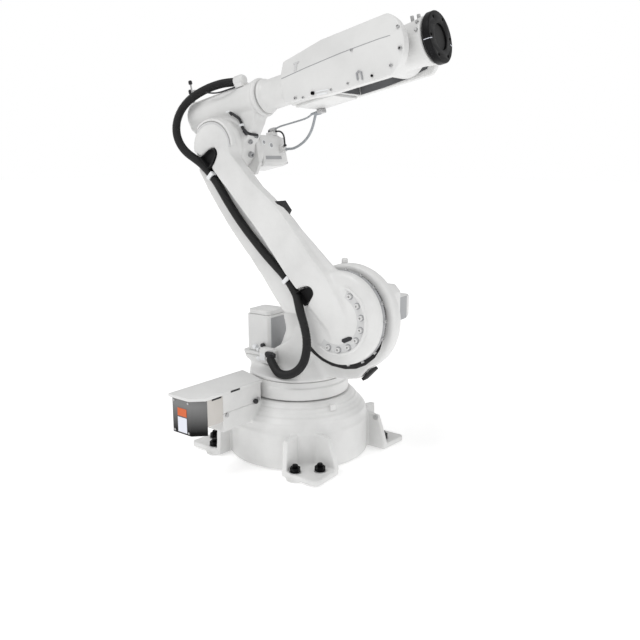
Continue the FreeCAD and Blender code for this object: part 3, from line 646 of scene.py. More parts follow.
# ---- hoses and cables
@dataclass(frozen=True)
class Line:
    """A hose or cable on its route of control points, in metres."""

    name: str
    node: str
    points: list[Vector]
    diameter: float
    finish: Finish
    pitch: float = 0.0
    groove: float = 0.0
    sides: int = 20

    def centre(self) -> np.ndarray:
        """Points along the smooth curve that the route controls."""
        curve = bpy.data.curves.new(self.name + "_route", "CURVE")
        curve.dimensions = "3D"
        curve.resolution_u = 24
        spline = curve.splines.new("NURBS")
        spline.points.add(len(self.points) - 1)
        for spot, place in zip(spline.points, self.points):
            spot.co = (*place, 1.0)
        spline.order_u = 3
        spline.use_endpoint_u = True
        holder = bpy.data.objects.new("route", curve)
        mesh = bpy.data.meshes.new_from_object(holder)
        found = np.array([v.co for v in mesh.vertices], float)
        bpy.data.objects.remove(holder)
        bpy.data.meshes.remove(mesh)
        return found

    def rings(self) -> tuple[np.ndarray, list[float]]:
        """Ring centres evenly along the curve, and the radius at each."""
        line = self.centre()
        along = np.concatenate([[0], np.cumsum(np.linalg.norm(np.diff(line, axis=0), axis=1))])
        step = self.pitch / 4 if self.pitch else self.diameter / 2
        count = max(8, round(along[-1] / step))
        at = np.linspace(0, along[-1], count + 1)
        centres = np.stack([np.interp(at, along, line[:, k]) for k in range(3)], axis=1)
        high, low = self.diameter / 2, self.diameter / 2 - self.groove
        shape = (high, high, low, low) if self.pitch else (high,)
        return centres, [shape[k % len(shape)] for k in range(len(centres))]

    def build(self, body: str) -> bpy.types.Object:
        """Sweep the tube and put it on a body."""
        centres, radii = self.rings()
        bm = bmesh.new()
        ways = np.gradient(centres, axis=0)
        ways /= np.linalg.norm(ways, axis=1)[:, None]
        across = np.cross(ways[0], (0.3, 0.5, 0.8))
        rings = []
        for centre, way, radius in zip(centres, ways, radii):
            across = across - way * (across @ way)
            across /= np.linalg.norm(across)
            other = np.cross(way, across)
            turns = [2 * math.pi * k / self.sides for k in range(self.sides)]
            rings.append([bm.verts.new(centre + radius * (math.cos(t) * across
                                                          + math.sin(t) * other)) for t in turns])
        skin_over(bm, rings)
        return put(self.name, smooth_mesh(bm, self.name, 70), body, self.finish)

    def declare(self, piece: bpy.types.Object, lay: str = "taut", stiffness: str = "stiff") -> None:
        """Work out the ring centres of the hose or cable; nothing more is done with them."""
        centres, _ = self.rings()


# ---- base
@dataclass
class BaseUnit:
    """Drum base on four ribbed feet, with the connector box behind it."""

    body: str = "base"
    bolt_far: float = 317.0
    bolt_near: float = 242.0
    plate_top: float = 34.0
    thread: float = 24.0

    def build(self) -> None:
        """Build the base with its bolts and box."""
        cast("base_casting", Finish.CASTING, grid_mm=3.0, fillet_mm=2.5, soften=2, keep=0.25)
        cast("rear_bridge", Finish.CASTING, grid_mm=4.0, soften=3, keep=0.4)
        machined("rear_box", Finish.BOX, 2.0)
        machined("connector_cover", Finish.STAINLESS, 2.5)
        machined("rear_box_lid", Finish.COVER, 3.0)
        machined("tag_orange", Finish.ORANGE, 0.4, 1)
        machined("tag_white", Finish.WHITE, 0.4, 1)
        machined("axis_one_stop", Finish.CASTING, 3.0)
        self.foot_bolts()
        self.box_details()

    def bolt_places(self) -> list[tuple[float, float]]:
        """The eight bolt centres on the feet."""
        pairs = [(self.bolt_far, self.bolt_near), (self.bolt_near, self.bolt_far)]
        return [(sx * x, sy * y) for x, y in pairs for sx in (1, -1) for sy in (1, -1)]

    def foot_bolts(self) -> None:
        """Hexagon head anchors with their washers."""
        washers = Gathered("foot_washers", self.body, Finish.ZINC)
        heads = Gathered("foot_bolts", self.body, Finish.BLACK_BOLT)
        for k, (x, y) in enumerate(self.bolt_places()):
            place = BASE.aimed((x, y, self.plate_top), ABOVE, (math.cos(k), math.sin(k), 0))
            washers.turned(place, [(0, 26), (4, 26), (4, 13), (0, 13)], 36)
            heads.hexagon(place, self.thread * 1.65, 4, 24)
            heads.turned(place, [(4, 21), (7, 21), (7, 10), (4, 10)], 30)
            heads.turned(place, [(22, 12), (34, 12), (36, 10), (36, 0)], 24)
        washers.show()
        heads.show()

    def box_details(self) -> None:
        """Screws of the stainless cover, seams in the box's side, and the bridge's plugs."""
        low, high = (Vector(c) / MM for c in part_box("connector_cover"))
        lid_low = Vector(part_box("rear_box_lid")[0]) / MM
        screws = Gathered("box_screws", self.body, Finish.ZINC)
        for y in (low.y + 62, high.y - 12):
            for z in (low.z + 12, high.z - 14):
                place = BASE.aimed((low.x, y, z), (-1, 0, 0))
                screws.turned(place, [(0, 5), (2, 5), (3, 3.4), (3, 0)], 18)
        screws.show()
        slots = Gathered("box_slots", self.body, Finish.BLACK_PLASTIC)
        side = Vector(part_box("rear_box")[0]) / MM
        for x, y, z in ((-526, side.y, lid_low.z - 6), (-424, lid_low.y, lid_low.z + 6)):
            slots.block(BASE.aimed((x, y, z), RIGHT), 27, 4, -1, 1.2, 0.5)
        slots.show()
        Gathered("bridge_knob", self.body, Finish.BLACK_PLASTIC).turned(BASE.aimed((-299, 3, 296),
            RIGHT), [(0, 7), (4, 7), (5, 11), (14, 11), (17, 8), (17, 0)]).show()
        plugs = Gathered("bridge_plugs", self.body, Finish.ZINC)
        plugs.turned(BASE.aimed((-468, 3, 278), RIGHT), [(0, 9), (4, 9), (6, 7), (6, 0)])
        plugs.turned(BASE.aimed((-276, 3, 300), RIGHT), [(0, 8), (5, 8), (6, 7), (6, 0)])
        plugs.hexagon(BASE.aimed((175, -322, 160), (-1, 0, 0)), 20, -1, 12)
        plugs.show()


# ---- turret
@dataclass
class TurretUnit:
    """Turning column with the wall that carries the lower arm, and its two motors."""

    body: str = "turret"
    gear_teeth: int = 120
    gear_screws: int = 24
    gear_screw_circle: float = 178.0

    def build(self) -> None:
        """Build the column, motors and fittings."""
        machined("turret_ring", Finish.CASTING, 3.0)
        cast("turret_frame", Finish.CASTING, grid_mm=5.0, fillet_mm=16.0, soften=6, keep=0.5)
        machined("axis_one_motor_flange", Finish.CASTING, 4.0, 3)
        machined("axis_one_motor", Finish.MOTOR, 5.0, 3)
        machined("axis_one_motor_cap", Finish.MOTOR, 5.0, 3)
        machined("axis_two_gear", Finish.SEAM, 1.5)
        machined("axis_two_adapter", Finish.CASTING, 8.0, 3)
        machined("axis_two_motor", Finish.MOTOR, 5.0, 3)
        machined("axis_two_motor_cap", Finish.MOTOR, 5.0, 3)
        machined("hose_bracket", Finish.CASTING, 4.0, 3)
        machined("lifting_stub", Finish.CASTING, 3.0)
        machined("turret_buffer", Finish.RUBBER_AND_SHADE_BLACK, 3.0)
        self.disc_painted_shadow()
        self.motor_shade_plates()
        self.connectors()

    def disc_painted_shadow(self) -> None:
        """Painted shadow: a black sheet in the gap under the arm's disc, with a raised lip below
        it, and the gear's screws and teeth.
        """
        outer = [(112, 522), (130, 503), (152, 488), (195, 465), (247, 450), (315, 446),
            (370, 456), (419, 480), (462, 518), (487, 558), (498, 598)]
        inner = [(478, 586), (450, 548), (419, 520), (370, 500), (315, 491), (247, 494),
            (195, 508), (158, 526), (130, 532)]
        # Painted shadow: a black crescent on the turret wall, where the disc shades it.
        Gathered("disc_painted_shadow", self.body, Finish.RUBBER_AND_SHADE_BLACK).prism(
            near_side(TURRET), outer + inner, 87, 90.5).show()
        lip = Gathered("disc_shadow_lip", self.body, Finish.CASTING)
        for (x1, z1), (x2, z2) in zip(outer[1:], outer[2:]):
            lip.prism(near_side(TURRET), [(x1, z1), (x1 + 1, z1 - 5), (x2 + 1, z2 - 5), (x2, z2)],
                      86, 91.5)
        lip.show()
        centre = TURRET.aimed((320, 0, 680), RIGHT)
        screws = Gathered("gear_screws", self.body, Finish.ZINC)
        for k in range(self.gear_screws):
            turn = math.radians(360 / self.gear_screws * k + 4)
            place = shifted(centre, self.gear_screw_circle * math.cos(turn),
                            self.gear_screw_circle * math.sin(turn), 106)
            screws.turned(place, [(0, 6), (3, 6), (4, 5), (4, 0)], 12)
        screws.show()
        teeth = Gathered("gear_teeth", self.body, Finish.OXIDE)
        for k in range(self.gear_teeth):
            turn = 2 * math.pi * k / self.gear_teeth
            place = centre @ Matrix.Rotation(turn, 4, "Z")
            teeth.prism(place, [(188, -3), (193.5, -1.6), (193.5, 1.6), (188, 3)], 89, 104)
        teeth.show()

    def motor_shade_plates(self) -> None:
        """Painted shade: grey plates on the shaded sides of both motors, and the screws of the axis
        2 motor's cap.
        """
        plates = Gathered("motor_shade_plates", self.body, Finish.SHADED)
        plates.block(TURRET.aimed((-112, 0, 536), AHEAD), 58, 76, -1, 1.2, 1)
        plates.block(TURRET.aimed((381, 268, 658), AHEAD), 66, 52, -1, 1.2, 1)
        plates.show()
        screws = Gathered("motor_screws", self.body, Finish.ZINC)
        for x, y in ((46, 46), (-46, 46), (46, -46), (-46, -46)):
            screws.cap_screw(TURRET.aimed((320 + x, 361.5, 658 + y), LEFT), 8)
        screws.show()

    def connectors(self) -> None:
        """Plugs, knob and unions beside the hose bracket."""
        black = Gathered("turret_plugs", self.body, Finish.BLACK_PLASTIC)
        black.turned(TURRET.aimed((-147, -69, 482), RIGHT), [(0, 8), (5, 8), (6, 11), (15, 11),
            (18, 8), (18, 0)])
        black.turned(TURRET.aimed((-92, -124, 460), AHEAD), [(0, 10), (8, 13), (36, 13), (38, 10),
            (50, 9), (50, 0)])
        black.block(TURRET.aimed((-62, -128, 452), ABOVE), 12, 20, -4, 6, 2)
        black.show()
        pale = Gathered("turret_unions", self.body, Finish.CLAMP)
        pale.turned(TURRET.aimed((-195, -69, 470), RIGHT), [(0, 11), (16, 11), (18, 9), (18, 0)])
        pale.turned(TURRET.aimed((-170, -69, 462), RIGHT), [(0, 8), (22, 8), (24, 6), (24, 0)])
        pale.block(TURRET.aimed((-118, -100, 440), RIGHT), 14, 16, 0, 18, 2)
        pale.turned(TURRET.aimed((-150, -100, 424), RIGHT), [(0, 12), (12, 12), (14, 9), (14, 0)])
        pale.show()


# ---- lower arm
@dataclass
class LowerArmUnit:
    """Side-mounted lower arm with its bolted disc, buffer, pockets and hose clamps."""

    body: str = "lower_arm"
    reach: float = 975.0
    bolts: int = 8
    bolt_circle: float = 127.0
    rim_screws: int = 13
    rim_radius: float = 200.6

    def build(self) -> None:
        """Build the arm, then dress it."""
        cast("lower_arm_casting", Finish.CASTING, grid_mm=4.5, fillet_mm=13.0, soften=6, keep=0.5)
        machined("arm_buffer", Finish.RUBBER_AND_SHADE_BLACK, 3.0)
        machined("clamp_low", Finish.CLAMP, 2.0)
        machined("clamp_high", Finish.CLAMP, 2.0)
        self.disc_face()
        self.hub_face()
        self.pockets()

    def disc_face(self) -> None:
        """Bolt ring of the shoulder disc, with the ridge outside it and the long slot; the ring,
        the rim band and the bolt wells are painted shade.
        """
        face = near_side(LOWER)
        # Painted shade: the bolt ring, a grey a step below the body.
        Gathered("disc_bolt_ring", self.body, Finish.DISC_FACE).arched(face, [(175, 106),
            (176.6, 106), (176.6, 141), (175, 141)], 22, -166).show()
        Gathered("disc_ridge", self.body, Finish.CASTING).arched(face, [(172, 140), (180, 142),
            (183, 145), (183, 149), (180, 152), (170, 155)], 26, -166, 72).show()
        # Painted shade: a grey band where the back of the disc's rim lies in shadow.
        Gathered("disc_rim_shade_band", self.body, Finish.SHADED).arched(face, [(109, 198),
            (109, 201.2), (127, 201.2), (127, 198)], 96, -170, 90).show()
        studs = Gathered("disc_rim_screws", self.body, Finish.ZINC)
        for k in range(self.rim_screws):
            turn = math.radians(84 - 21 * k)
            x, z = math.cos(turn), math.sin(turn)
            spot = (self.rim_radius * x, -118, self.rim_radius * z)
            studs.cap_screw(LOWER.aimed(spot, (x, 0, z), LEFT), 9)
        studs.show()
        bolts = Gathered("disc_bolts", self.body, Finish.MOTOR)
        # Painted shade: grey rings round the bolt heads, for the shade in their recesses.
        bolt_shade = Gathered("disc_bolt_shade_rings", self.body, Finish.SHADED)
        for k in range(self.bolts):
            turn = math.radians(12 - 23 * k)
            place = shifted(face, self.bolt_circle * math.cos(turn),
                            self.bolt_circle * math.sin(turn), 176.4)
            bolt_shade.turned(place, [(0, 14), (0.6, 14), (0.6, 0)], 24)
            bolts.cap_screw(place, 12)
        bolts.show()
        bolt_shade.show()
        Gathered("disc_slot", self.body, Finish.BLACK_PLASTIC).prism(face, [(-38, -86),
            (-30, -80), (2, -91), (14, -101), (12, -109), (0, -110), (-34, -98)], 168,
            177.2).show()

    def hub_face(self) -> None:
        """Raised ring round the elbow end, and a grey band of painted shade for the shallow groove.
        """
        hub = LOWER.aimed((0, 0, self.reach), RIGHT)
        Gathered("hub_groove_shade", self.body, Finish.DISC_FACE).arched(hub, [(150, 101), (161, 101),
            (160.4, 109), (150, 109)], 96, -44).show()
        Gathered("hub_ring", self.body, Finish.CASTING).arched(hub, [(140, 112), (158, 114),
            (159, 118), (156, 123), (140, 128)], 92, -40, 60).show()

    def pockets(self) -> None:
        """Painted shade: black trays in the two pockets behind the hose, standing for their unlit
        insides.
        """
        face = near_side(LOWER)
        shade_trays = Gathered("pocket_painted_shade", self.body, Finish.RUBBER_AND_SHADE_BLACK)
        low = [(-84, 136), (-84, 207), (-43, 199), (-12, 183), (-3, 164), (-11, 145), (-54, 137)]
        shade_trays.tray(face, low, 144, 178)
        top = [(-76, -57), (-76, 12), (-72, 8), (-48, 2), (-13, -4), (6, -16), (10, -31),
            (2, -45), (-32, -56), (-60, -58)]
        shade_trays.tray(face, [(x, z + self.reach) for x, z in top], 143, 172)
        shade_trays.show()


# ---- dress hose
@dataclass
class HoseUnit:
    """Corrugated dress hose: the clipped run and the two free loops."""

    diameter: float = 0.038
    wall: float = -97.0
    rest: float = -145.0
    top: float = 975.0

    def line(self, name: str, node: str, places: list[Vector]) -> Line:
        """One stretch of the hose."""
        return Line(name, node, places, self.diameter, Finish.HOSE, pitch=0.0062, groove=0.0022)

    def build(self) -> None:
        """Build the three stretches: the run on the lower arm, the two loops on no body."""
        wall, rest, top = self.wall, self.rest, self.top
        run = [LOWER.at(*p) for p in (
            (wall, rest, 273), (wall, rest, 318), (wall - 7, rest, 368), (wall - 14, rest, 424),
            (wall - 19, rest, 500), (wall - 22, rest, 590), (wall - 20, rest, 676),
            (wall - 13, rest, 758), (wall - 5, rest, top - 157), (wall, rest, top - 114),
            (wall, rest, top - 72))]
        line = self.line("dress_hose_run", "harness_run", run)
        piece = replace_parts(line.build("lower_arm"), "harness_run")
        line.declare(piece)
        low = [TURRET.at(*p) for p in (
            (-62, -130, 440), (1, -180, 420), (48, -211, 410), (103, -224, 414),
            (155, -226, 438), (192, -225, 481), (208, -224, 536), (209, -223, 593),
            (195, -223, 648), (168, -212, 697), (135, -182, 733))]
        low += [LOWER.at(wall, rest - 6, 214), LOWER.at(wall, rest, 272)]
        line = self.line("dress_hose_low_loop", "harness_lower_loop", low)
        self.crossing(line, "turret")
        high = [LOWER.at(wall, rest, top - 71)] + [ELBOW.at(*p) for p in (
            (-78, -145, -66), (-118, -150, -27), (-162, -150, 9), (-197, -146, 53),
            (-218, -138, 105), (-218, -125, 160), (-196, -108, 209), (-156, -91, 245),
            (-106, -76, 266), (-52, -62, 278), (3, -52, 282), (56, -44, 279),
            (112, -40, 267.5))]
        line = self.line("dress_hose_high_loop", "harness_upper_loop", high)
        self.crossing(line, "lower_arm")

    def crossing(self, line: Line, first: str) -> None:
        """Build a loop that runs between two bodies, and leave it on neither."""
        piece = line.build(first)
        piece.parent = None
        del piece["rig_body"]
        line.declare(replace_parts(piece, line.node), "loose")
        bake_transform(piece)


# ---- elbow
@dataclass
class ElbowUnit:
    """Elbow housing with the axis 3 motor, the axis 4 barrel and the cables."""

    body: str = "elbow"
    neck_height: float = 175.0
    neck_screws: int = 10
    neck_screw_circle: float = 77.85

    def build(self) -> None:
        """Build the elbow."""
        cast("elbow_housing", Finish.CASTING, grid_mm=4.0, fillet_mm=12.0, soften=6, keep=0.5)
        machined("neck_ring", Finish.CASTING, 3.0)
        machined("axis_three_adapter", Finish.CASTING, 4.0, 3)
        machined("axis_three_motor", Finish.MOTOR, 5.0, 3)
        machined("axis_three_motor_cap", Finish.MOTOR, 5.0, 3)
        machined("hose_socket", Finish.CASTING, 2.5)
        self.glands()
        self.breather()
        self.motor_face()
        self.bolts()
        self.cables()

    def glands(self) -> None:
        """Pale housings on the motor, with a black plug in one and a grey union on the cable."""
        pale = Gathered("gland_housings", self.body, Finish.MOTOR)
        pale.block(ELBOW.aimed((40, 244, 48), ABOVE), 17, 21, 0.4, 20, 3)
        pale.block(ELBOW.aimed((74.4, 250, -24), AHEAD), 13, 15, 0, 20, 3)
        pale.turned(ELBOW.aimed((92, 250, -28), AHEAD), [(0, 11), (14, 11), (16, 8), (16, 0)])
        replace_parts(pale.show(), "cable_glands")
        plugs = Gathered("gland_plugs", self.body, Finish.BLACK_PLASTIC)
        plugs.turned(ELBOW.aimed((22, 250, 74), AHEAD), [(0, 9), (4, 11), (34, 11), (36, 8),
            (41, 8), (41, 0)])
        plugs.turned(ELBOW.aimed((101, 252, -14), ABOVE), [(0, 8), (8, 8), (10, 6), (10, 0)])
        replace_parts(plugs.show(), "cable_glands")
        union = Gathered("cable_unions", self.body, Finish.ZINC)
        union.turned(ELBOW.aimed((44, 234, 76), AHEAD), [(0, 9), (24, 9), (26, 7), (34, 7),
            (34, 0)])
        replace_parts(union.show(), "cable_glands")

    def breather(self) -> None:
        """Thin stem with a black knob on top and another on a side branch."""
        stem = Gathered("breather_stem", self.body, Finish.ZINC)
        stem.turned(ELBOW.aimed((-176, -26, 247), ABOVE), [(0, 7), (8, 7), (9, 4), (90, 4),
            (90, 0)])
        stem.turned(ELBOW.aimed((-187, -26, 302), AHEAD), [(0, 3), (32, 3), (32, 0)], 16)
        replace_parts(stem.show(), "breather_post")
        knobs = Gathered("breather_knobs", self.body, Finish.BLACK_PLASTIC)
        knobs.turned(ELBOW.aimed((-176, -26, 333), ABOVE), [(0, 5), (3, 9), (15, 9), (19, 6),
            (19, 0)])
        knobs.turned(ELBOW.aimed((-186, -26, 291), ABOVE), [(0, 6), (3, 9), (17, 9), (21, 6),
            (21, 0)])
        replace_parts(knobs.show(), "breather_post")

    def motor_face(self) -> None:
        """Slot, ringed plugs and cap screws of the axis 3 motor."""
        face = ELBOW.aimed((74, 0, 0), AHEAD)
        Gathered("elbow_motor_slots", self.body, Finish.SHADED).block(
            shifted(face, 182, -62, 0), 60, 8, -1, 1.4, 1).show()
        spots = Gathered("elbow_motor_plugs", self.body, Finish.SHADED)
        rings = Gathered("elbow_motor_rings", self.body, Finish.CLAMP)
        for y, z, size in ((126, 10, 8), (178, -4, 10)):
            place = shifted(face, y, z, 0)
            rings.turned(place, [(0, size + 5), (1.2, size + 5), (2.2, size + 3), (2.2, 0)], 24)
            spots.turned(place, [(1, size), (3.4, size), (4, size - 1), (4, 0)], 24)
        spots.show()
        rings.show()
        screws = Gathered("elbow_motor_screws", self.body, Finish.ZINC)
        for x, z in ((58, 32), (-58, 32), (58, -84), (-58, -84)):
            screws.cap_screw(ELBOW.aimed((x, 295, z), LEFT), 8)
        screws.show()

    def bolts(self) -> None:
        """Screws of the adapter's lobes and of the neck ring."""
        black = Gathered("elbow_lobe_screws", self.body, Finish.SHADED)
        black.cap_screw(ELBOW.aimed((119, -30, 3), (0.58, 0, -0.81)), 13)
        black.cap_screw(ELBOW.aimed((92, -13, -50), (0.86, 0, -0.5)), 17)
        black.cap_screw(ELBOW.aimed((140, -7, 23), (0.75, 0, -0.67)), 12)
        black.show()
        zinc = Gathered("elbow_screws", self.body, Finish.ZINC)
        for k in range(self.neck_screws):
            turn = math.radians(360 / self.neck_screws * k + 12)
            spot = (207, self.neck_screw_circle * math.cos(turn),
                    self.neck_height + self.neck_screw_circle * math.sin(turn))
            zinc.cap_screw(ELBOW.aimed(spot, AHEAD), 8)
        zinc.show()

    def cables(self) -> None:
        """The short motor cable, the lead along the housing, and two that cross to the forearm."""
        lead = [(66, -66, 150), (84, -69, 126), (112, -70, 108), (122, -70, 84), (121, -70, 60),
            (138, -68, 36), (150, -50, 24), (152, -10, 22)]
        self.cable("housing_lead", "", lead, 0.012, Finish.BLACK_CABLE)
        spare = [(118, -66, 240), (92, -76, 238), (56, -82, 236), (24, -86, 238), (-8, -88, 246),
                 (-36, -88, 256)]
        self.cable("thin_hose_lead", "", spare, 0.007, Finish.BLACK_CABLE)
        ends = Gathered("lead_unions", self.body, Finish.BLACK_PLASTIC)
        ends.turned(ELBOW.aimed((56, -64, 156), (0.6, 0, -0.8)), [(0, 8), (30, 9), (32, 7),
            (32, 0)])
        ends.turned(ELBOW.aimed((128, -68, 46), (0.6, 0, -0.8)), [(0, 9), (22, 9), (24, 7),
            (24, 0)])
        ends.show()
        pale = Gathered("lead_clips", self.body, Finish.CLAMP)
        pale.block(ELBOW.aimed((58, -66, 152), RIGHT), 10, 9, -2, 9, 2)
        pale.block(ELBOW.aimed((122, -66, 72), RIGHT), 10, 5, -2, 12, 2)
        pale.show()
        drop = [(62.3, 250, 66), (81, 250, 65.5), (97, 252, 54), (104, 253, 36), (103, 252, 14),
                (101, 252, -7.7)]
        self.cable("motor_lead", "motor_cable", drop, 0.008, Finish.BLACK_CABLE)
        thin = [(62.3, 234, 76), (84, 233, 77), (110, 222, 78), (158, 202, 74), (214, 176, 68),
            (270, 148, 62), (326, 120, 56), (376, 94, 54), (413, 66, 56)]
        thick = [(108.4, 246, -30), (126, 245, -31), (147, 236, -36), (174, 222, -39),
            (218, 203, -37), (266, 180, -30), (314, 154, -16), (356, 128, 4), (392, 102, 30),
            (424, 78, 55)]
        self.cable("thin_bridge_cable", "cable_bridge", thin, 0.008, Finish.CABLE, "forearm")
        self.cable("thick_bridge_cable", "cable_bridge", thick, 0.012, Finish.CABLE, "forearm")

    def cable(self, name: str, node: str, places: list[Point], size: float, finish: Finish,
              far: str = "") -> None:
        """Build one cable.

        Args:
            name: the new piece.
            node: the construction node it stands for, if any.
            places: its route in the elbow's axes, in millimetres.
            size: diameter in metres.
            finish: its sheath.
            far: the second body, where it crosses to one.
        """
        route = [ELBOW.at(*place) for place in places]
        line = Line(name, node, route, size, finish)
        piece = line.build(self.body)
        if far:
            piece.parent = None
            del piece["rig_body"]
        if node:
            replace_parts(piece, node)
        line.declare(piece, "loose" if node else "taut")
        if far:
            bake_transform(piece)


# ---- forearm
@dataclass
class ForearmUnit:
    """Forearm frame between its two side covers."""

    body: str = "forearm"

    def build(self) -> None:
        """Build the forearm."""
        cast("forearm_frame", Finish.CASTING, grid_mm=4.0, fillet_mm=8.0, soften=4, keep=0.4)
        cast("near_cover", Finish.COVER, grid_mm=3.5, soften=9, keep=0.4)
        cast("far_cover", Finish.COVER, grid_mm=3.5, soften=9, keep=0.4)
        machined("belly_cover", Finish.COVER, 2.0)
        machined("cable_clip", Finish.ZINC, 3.0)
        sleeves = Gathered("clip_sleeves", self.body, Finish.CABLE)
        sleeves.turned(ELBOW.aimed((408, 66, 56), AHEAD), [(0, 5), (30, 7), (42, 7), (42, 0)])
        sleeves.turned(ELBOW.aimed((418, 78, 55), AHEAD), [(0, 7), (22, 9), (32, 9), (32, 0)])
        sleeves.show()
        self.cover_marks()
        self.cover_screws()
        self.inner_sheet()

    def cover_marks(self) -> None:
        """Parting line, slot, grip and hook of the near cover."""
        face = near_side(UPPER)
        Gathered("cover_parting_line", self.body, Finish.SHADED).strip(face, [(448, 4), (572, 13),
            (678, 18), (743, 21), (796, 22), (919, 23), (967, 21)], 3.2, 163.5, 165.4).show()
        slot = Gathered("cover_slot", self.body, Finish.DISC_FACE)
        tilt = UPPER.aimed((523, -156, 34), (0, -0.89, 0.46))
        slot.block(tilt, 6, 20, -2, 1.5, 1)
        slot.block(shifted(tilt, 0, 16, 0), 14, 4, -2, 1.6, 1)
        slot.show()
        grip = Gathered("cover_grip", self.body, Finish.CLAMP)
        grip.strip(face, [(604, -90), (634, -92), (664, -96)], 4, 163, 168)
        grip.strip(face, [(608, -102), (634, -104), (656, -107)], 7, 163, 168)
        grip.show()
        hook = Gathered("cover_hook", self.body, Finish.SHADED)
        hook.strip(face, [(800, -74), (812, -66), (826, -74)], 6, 163, 170)
        hook.block(shifted(face, 803, -86, 163), 3, 12, 0, 7, 1)
        hook.block(shifted(face, 823, -88, 163), 2.5, 13, 0, 7, 1)
        hook.show()

    def cover_screws(self) -> None:
        """Screws of both covers, some bare and some black."""
        bare = Gathered("cover_screws", self.body, Finish.ZINC)
        black = Gathered("cover_black_screws", self.body, Finish.BLACK_BOLT)
        low_row = ((502, -88, 8), (539, -95, 6), (676, -100, 6), (756, -97, 6))
        for x, z, thread in low_row:
            bare.cap_screw(UPPER.aimed((x, -163.5, z), RIGHT), thread)
            bare.cap_screw(UPPER.aimed((x, 163, z + 50), LEFT), thread)
        for side in (-1, 1):
            for x, z, thread in ((951, -84, 8), (796, 18, 7), (1000, -35, 10)):
                bare.cap_screw(UPPER.aimed((x, side * 163, z), (0, side, 0)), thread)
            bare.cap_screw(UPPER.aimed((1002, side * 160, 41), (0, side * 0.91, 0.42)), 8)
        for x, z, thread in ((590, -91, 9), (866, -98, 6), (1000, -35, 5)):
            black.cap_screw(UPPER.aimed((x, -165, z), RIGHT), thread)
        bare.show()
        black.show()

    def inner_sheet(self) -> None:
        """Painted shade: grey sheets inside both covers and on the frame, seen from below, for the
        shaded gap under the forearm.
        """
        sheet = Gathered("cover_underside_shade", self.body, Finish.UNDERSIDE_SHADE)
        for side in (-1, 1):
            place = UPPER.aimed((0, 0, 0), (0, side, 0))
            low = [(643, -92), (760, -92), (860, -86), (960, -72), (985, -40), (985, 40), (643, 40)]
            sheet.prism(place, [(-side * x, z) for x, z in low], 115.8, 117.4)
        sheet.prism(UPPER.aimed((640, 0, 0), AHEAD), [(-112, -92), (112, -92), (112, 70),
            (-112, 70)], 0.2, 1.6)
        sheet.show()


# ---- wrist
@dataclass
class WristUnit:
    """Wrist housing and the tool flange."""

    def build(self) -> None:
        """Build the wrist."""
        cast("wrist_housing", Finish.CASTING, grid_mm=3.0, fillet_mm=6.0, soften=5, keep=0.4)
        machined("wrist_fittings", Finish.ZINC, 1.0)
        machined("tool_flange", Finish.OXIDE, 1.5)
        Gathered("flange_seal", "wrist", Finish.RUBBER_AND_SHADE_BLACK).turned(WRIST.aimed((161, 0, 0), AHEAD),
            [(0, 80), (0, 84), (5, 84), (5, 0)], 48).show()
        plugs = Gathered("wrist_plugs", "wrist", Finish.ZINC)
        plugs.turned(WRIST.aimed((146, -67, 60), (0, -0.76, 0.63)), [(0, 7), (7, 7), (9, 5),
            (9, 0)])
        plugs.turned(WRIST.aimed((146, -86, 31), (0, -0.95, 0.31)), [(0, 7), (6, 7), (8, 5),
            (8, 0)])
        plugs.show()
        Gathered("flange_bore", "tool_flange", Finish.HOSE).turned(FLANGE.aimed((-8, 0, 0),
            AHEAD), [(0, 48), (0.8, 48), (0.8, 0)], 48).show()
        marks = Gathered("flange_marks", "tool_flange", Finish.WHITE)
        for turn in (189, 345):
            place = FLANGE.aimed((0, 0, 0), AHEAD) @ Matrix.Rotation(math.radians(turn), 4, "Z")
            marks.block(shifted(place, 87, 0, 0), 9, 1.2, -1, 0.5, 0.2)
            marks.block(shifted(place, 97.6, 0, -14), 0.9, 1.2, -12, 12, 0.2)
        marks.show()


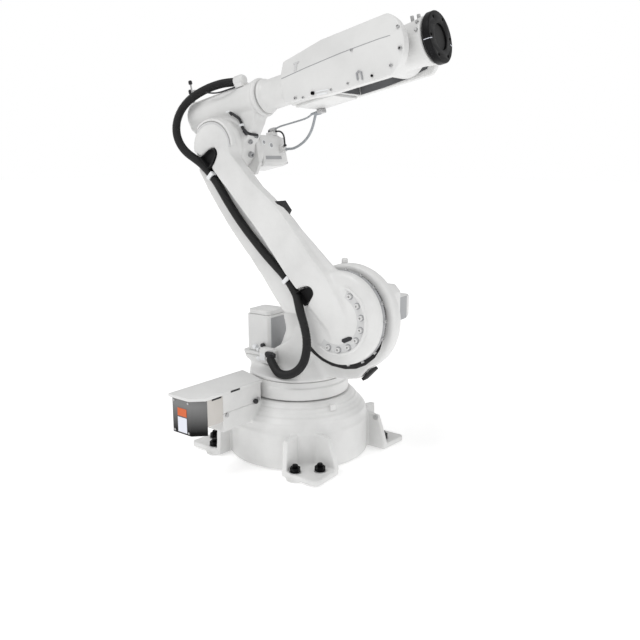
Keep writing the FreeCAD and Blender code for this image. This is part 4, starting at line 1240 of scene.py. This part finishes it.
# ---- studio
@dataclass(frozen=True)
class Studio:
    """Pale floor, soft light and the camera."""

    eye: Point = (-2.5614, -2.1311, 1.3358)
    tilt: float = 77.659
    turn: float = -51.969
    lens: float = 41.754
    surround: float = 0.6
    key: float = 0.8
    edge: float = 0.42
    glow: float = 0.3

    def floor(self) -> None:
        """A plain pale floor well beyond the view."""
        material, tree = new_material("pale_painted_floor")
        where = add_node(tree, "ShaderNodeTexCoord").outputs["Object"]
        cloud = add_node(tree, "ShaderNodeTexNoise", {"Vector": where}, {"Scale": 1.2})
        tone = blended(tree, cloud.outputs["Fac"], "#FFFFFF", "#FBFBFB")
        close_material(tree, {"Base Color": tone},
                       {"Roughness": 0.9, "Emission Color": linear("#FFFFFF"),
                        "Emission Strength": self.glow})
        bm = bmesh.new()
        bmesh.ops.create_grid(bm, x_segments=8, y_segments=8, size=40.0)
        mesh = bpy.data.meshes.new("floor")
        bm.to_mesh(mesh)
        bm.free()
        mesh.materials.append(material)
        floor = bpy.data.objects.new("floor", mesh)
        bpy.context.scene.collection.objects.link(floor)

    def sun(self, name: str, toward: Point, strength: float, spread: float) -> None:
        """One wide soft light a long way off, shining from a direction."""
        light = bpy.data.lights.new(name, "SUN")
        light.energy, light.angle = strength, math.radians(spread)
        lamp = bpy.data.objects.new(name, light)
        lamp.rotation_mode = "QUATERNION"
        lamp.rotation_quaternion = Vector(toward).to_track_quat("Z", "Y")
        bpy.context.scene.collection.objects.link(lamp)

    def lights(self) -> None:
        """A bright surround, brighter still where the camera sees it, and two wide soft lights."""
        world = bpy.data.worlds.new("surround")
        world.use_nodes = True
        tree = world.node_tree
        ray = add_node(tree, "ShaderNodeLightPath").outputs["Is Camera Ray"]
        level = add_node(tree, "ShaderNodeMapRange", {"Value": ray},
                         {"To Min": self.surround, "To Max": 1.0})
        tree.links.new(level.outputs["Result"], tree.nodes["Background"].inputs["Strength"])
        tree.nodes["Background"].inputs["Color"].default_value = linear("#FFFFFF")
        bpy.context.scene.world = world
        self.sun("key", (-1.0, 0.35, 1.5), self.key, 30)
        self.sun("edge", (0.3, -1.0, 0.9), self.edge, 40)

    def camera(self) -> None:
        """The viewing camera."""
        data = bpy.data.cameras.new("view")
        data.lens, data.sensor_width = self.lens, 36.0
        data.clip_end = 100.0
        camera = bpy.data.objects.new("view", data)
        camera.location = self.eye
        camera.rotation_euler = (math.radians(self.tilt), 0.0, math.radians(self.turn))
        bpy.context.scene.collection.objects.link(camera)
        bpy.context.scene.camera = camera

    def build(self) -> None:
        """Set the studio up."""
        self.camera()
        self.lights()
        self.floor()
        bpy.context.scene.view_settings.view_transform = "Standard"


def main() -> None:
    """Build the arm from the floor up."""
    logging.basicConfig(level=logging.INFO, format="%(message)s")
    Studio().build()
    for unit in (BaseUnit(), TurretUnit(), LowerArmUnit(), HoseUnit(), ElbowUnit(),
                 ForearmUnit(), WristUnit()):
        LOG.info("building %s", type(unit).__name__)
        unit.build()


if __name__ == "__main__":
    main()
